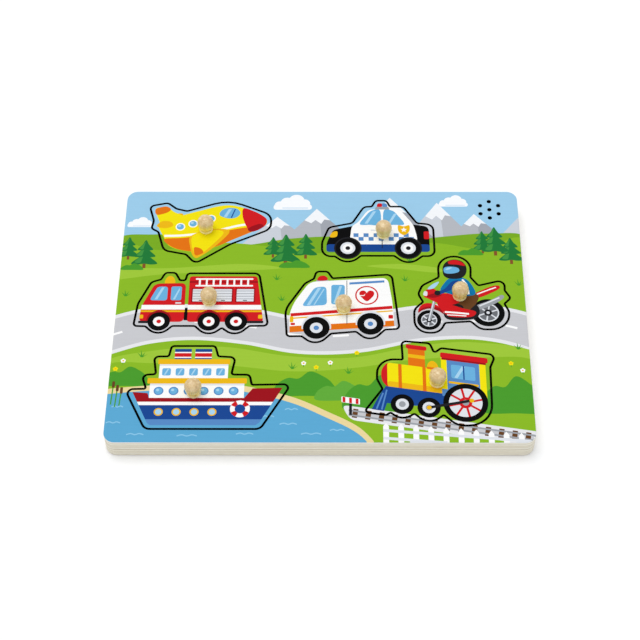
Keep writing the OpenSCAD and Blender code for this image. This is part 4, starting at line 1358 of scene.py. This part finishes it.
def grip_ribs(material):
    """Low half-round bars across the door, each closed and sunk a little into it."""
    low, high = (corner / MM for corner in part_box("battery_door"))
    reach = (high.y - low.y) * RIB_HALF_SHARE
    middle_y = (low.y + high.y) / 2
    points, faces = [], []
    for rib in range(RIB_COUNT):
        x = high.x - RIB_INSET - RIB_PITCH * rib
        rows = []
        for y, share in ((-reach, 0.0), (RIB_END - reach, 1.0), (reach - RIB_END, 1.0), (reach, 0.0)):
            first = len(points)
            for k in range(RIB_STEPS + 1):
                turn = math.pi * k / RIB_STEPS
                z = low.z - RIB_H * share * math.sin(turn)
                points.append((x + RIB_W / 2 * math.cos(turn), middle_y + y, z))
            points.append((x, middle_y + y, low.z + RIB_H))
            rows.append(list(range(first, len(points))))
        faces += sleeve(rows) + [rows[0][::-1], rows[-1]]
    mesh = meshed("door_grip_ribs", points, faces, [material])
    mesh.set_sharp_from_angle(angle=math.radians(TURNED_SHARP))
    return in_scene("door_grip_ribs", mesh)


ribs = grip_ribs(plastic)
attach(ribs, "battery_door")

# Studio: a white floor, an even sky and a soft lamp.
# The floor is open under the board, so that the underside shows from below.
FLOOR_REACH = 6000.0
FLOOR_OVERLAP = 1.0
FLOOR_GAP = 0.1
floor_edge = slab(-FLOOR_REACH, -FLOOR_REACH, FLOOR_REACH, FLOOR_REACH)
board_foot = shifted(flat_loops("base_board", 0.0)[0], -FLOOR_OVERLAP)
floor_points, floor_faces = triangulated([floor_edge, board_foot])
paper, _ = new_material(
    "paper_floor", 0.9, (250, 250, 250), Specular_IOR_Level=0.0, Emission_Color=(1, 1, 1, 1),
    Emission_Strength=0.09
)
floor_spots = [(p.x, p.y, -FLOOR_GAP) for p in floor_points]
floor = in_scene("floor", meshed("floor", floor_spots, [corners for corners, _ in floor_faces], [paper]))

scene = bpy.context.scene
scene.view_settings.view_transform = "Standard"
scene.world = scene.world or bpy.data.worlds.new("studio")
scene.world.use_nodes = True
sky = scene.world.node_tree.nodes["Background"]
upward = along(node(sky, "TexCoord").outputs["Generated"], "Z")
white, grey = (255, 255, 255), (205, 208, 213)
feed(sky.inputs["Color"], ramp(upward, (0.0, white), (0.12, white), (0.4, grey)))
sky.inputs["Strength"].default_value = 1.0

lamp_data = bpy.data.lights.new("soft_lamp", "SUN")
lamp_data.angle = math.radians(40)
lamp_data.energy = 1.16
lamp_data.color = (1.0, 0.985, 0.96)
lamp = in_scene("soft_lamp", lamp_data)
lamp.location = (-0.26, 0.27, 1.38)
lamp.rotation_euler = (-lamp.location).to_track_quat("-Z", "Y").to_euler()

# Camera solved from the photograph's board corners, for a square frame.
camera_data = bpy.data.cameras.new("camera")
camera_data.sensor_width = 36.0
camera_data.lens = 87.58
camera_data.shift_x = -0.02706
camera = in_scene("camera", camera_data)
camera.location = (0.0157, -0.66301, 0.94339)
camera.rotation_euler = [math.radians(turn) for turn in (35.2403, 0.1329, 0.1402)]
scene.camera = camera

bpy.context.view_layer.update()
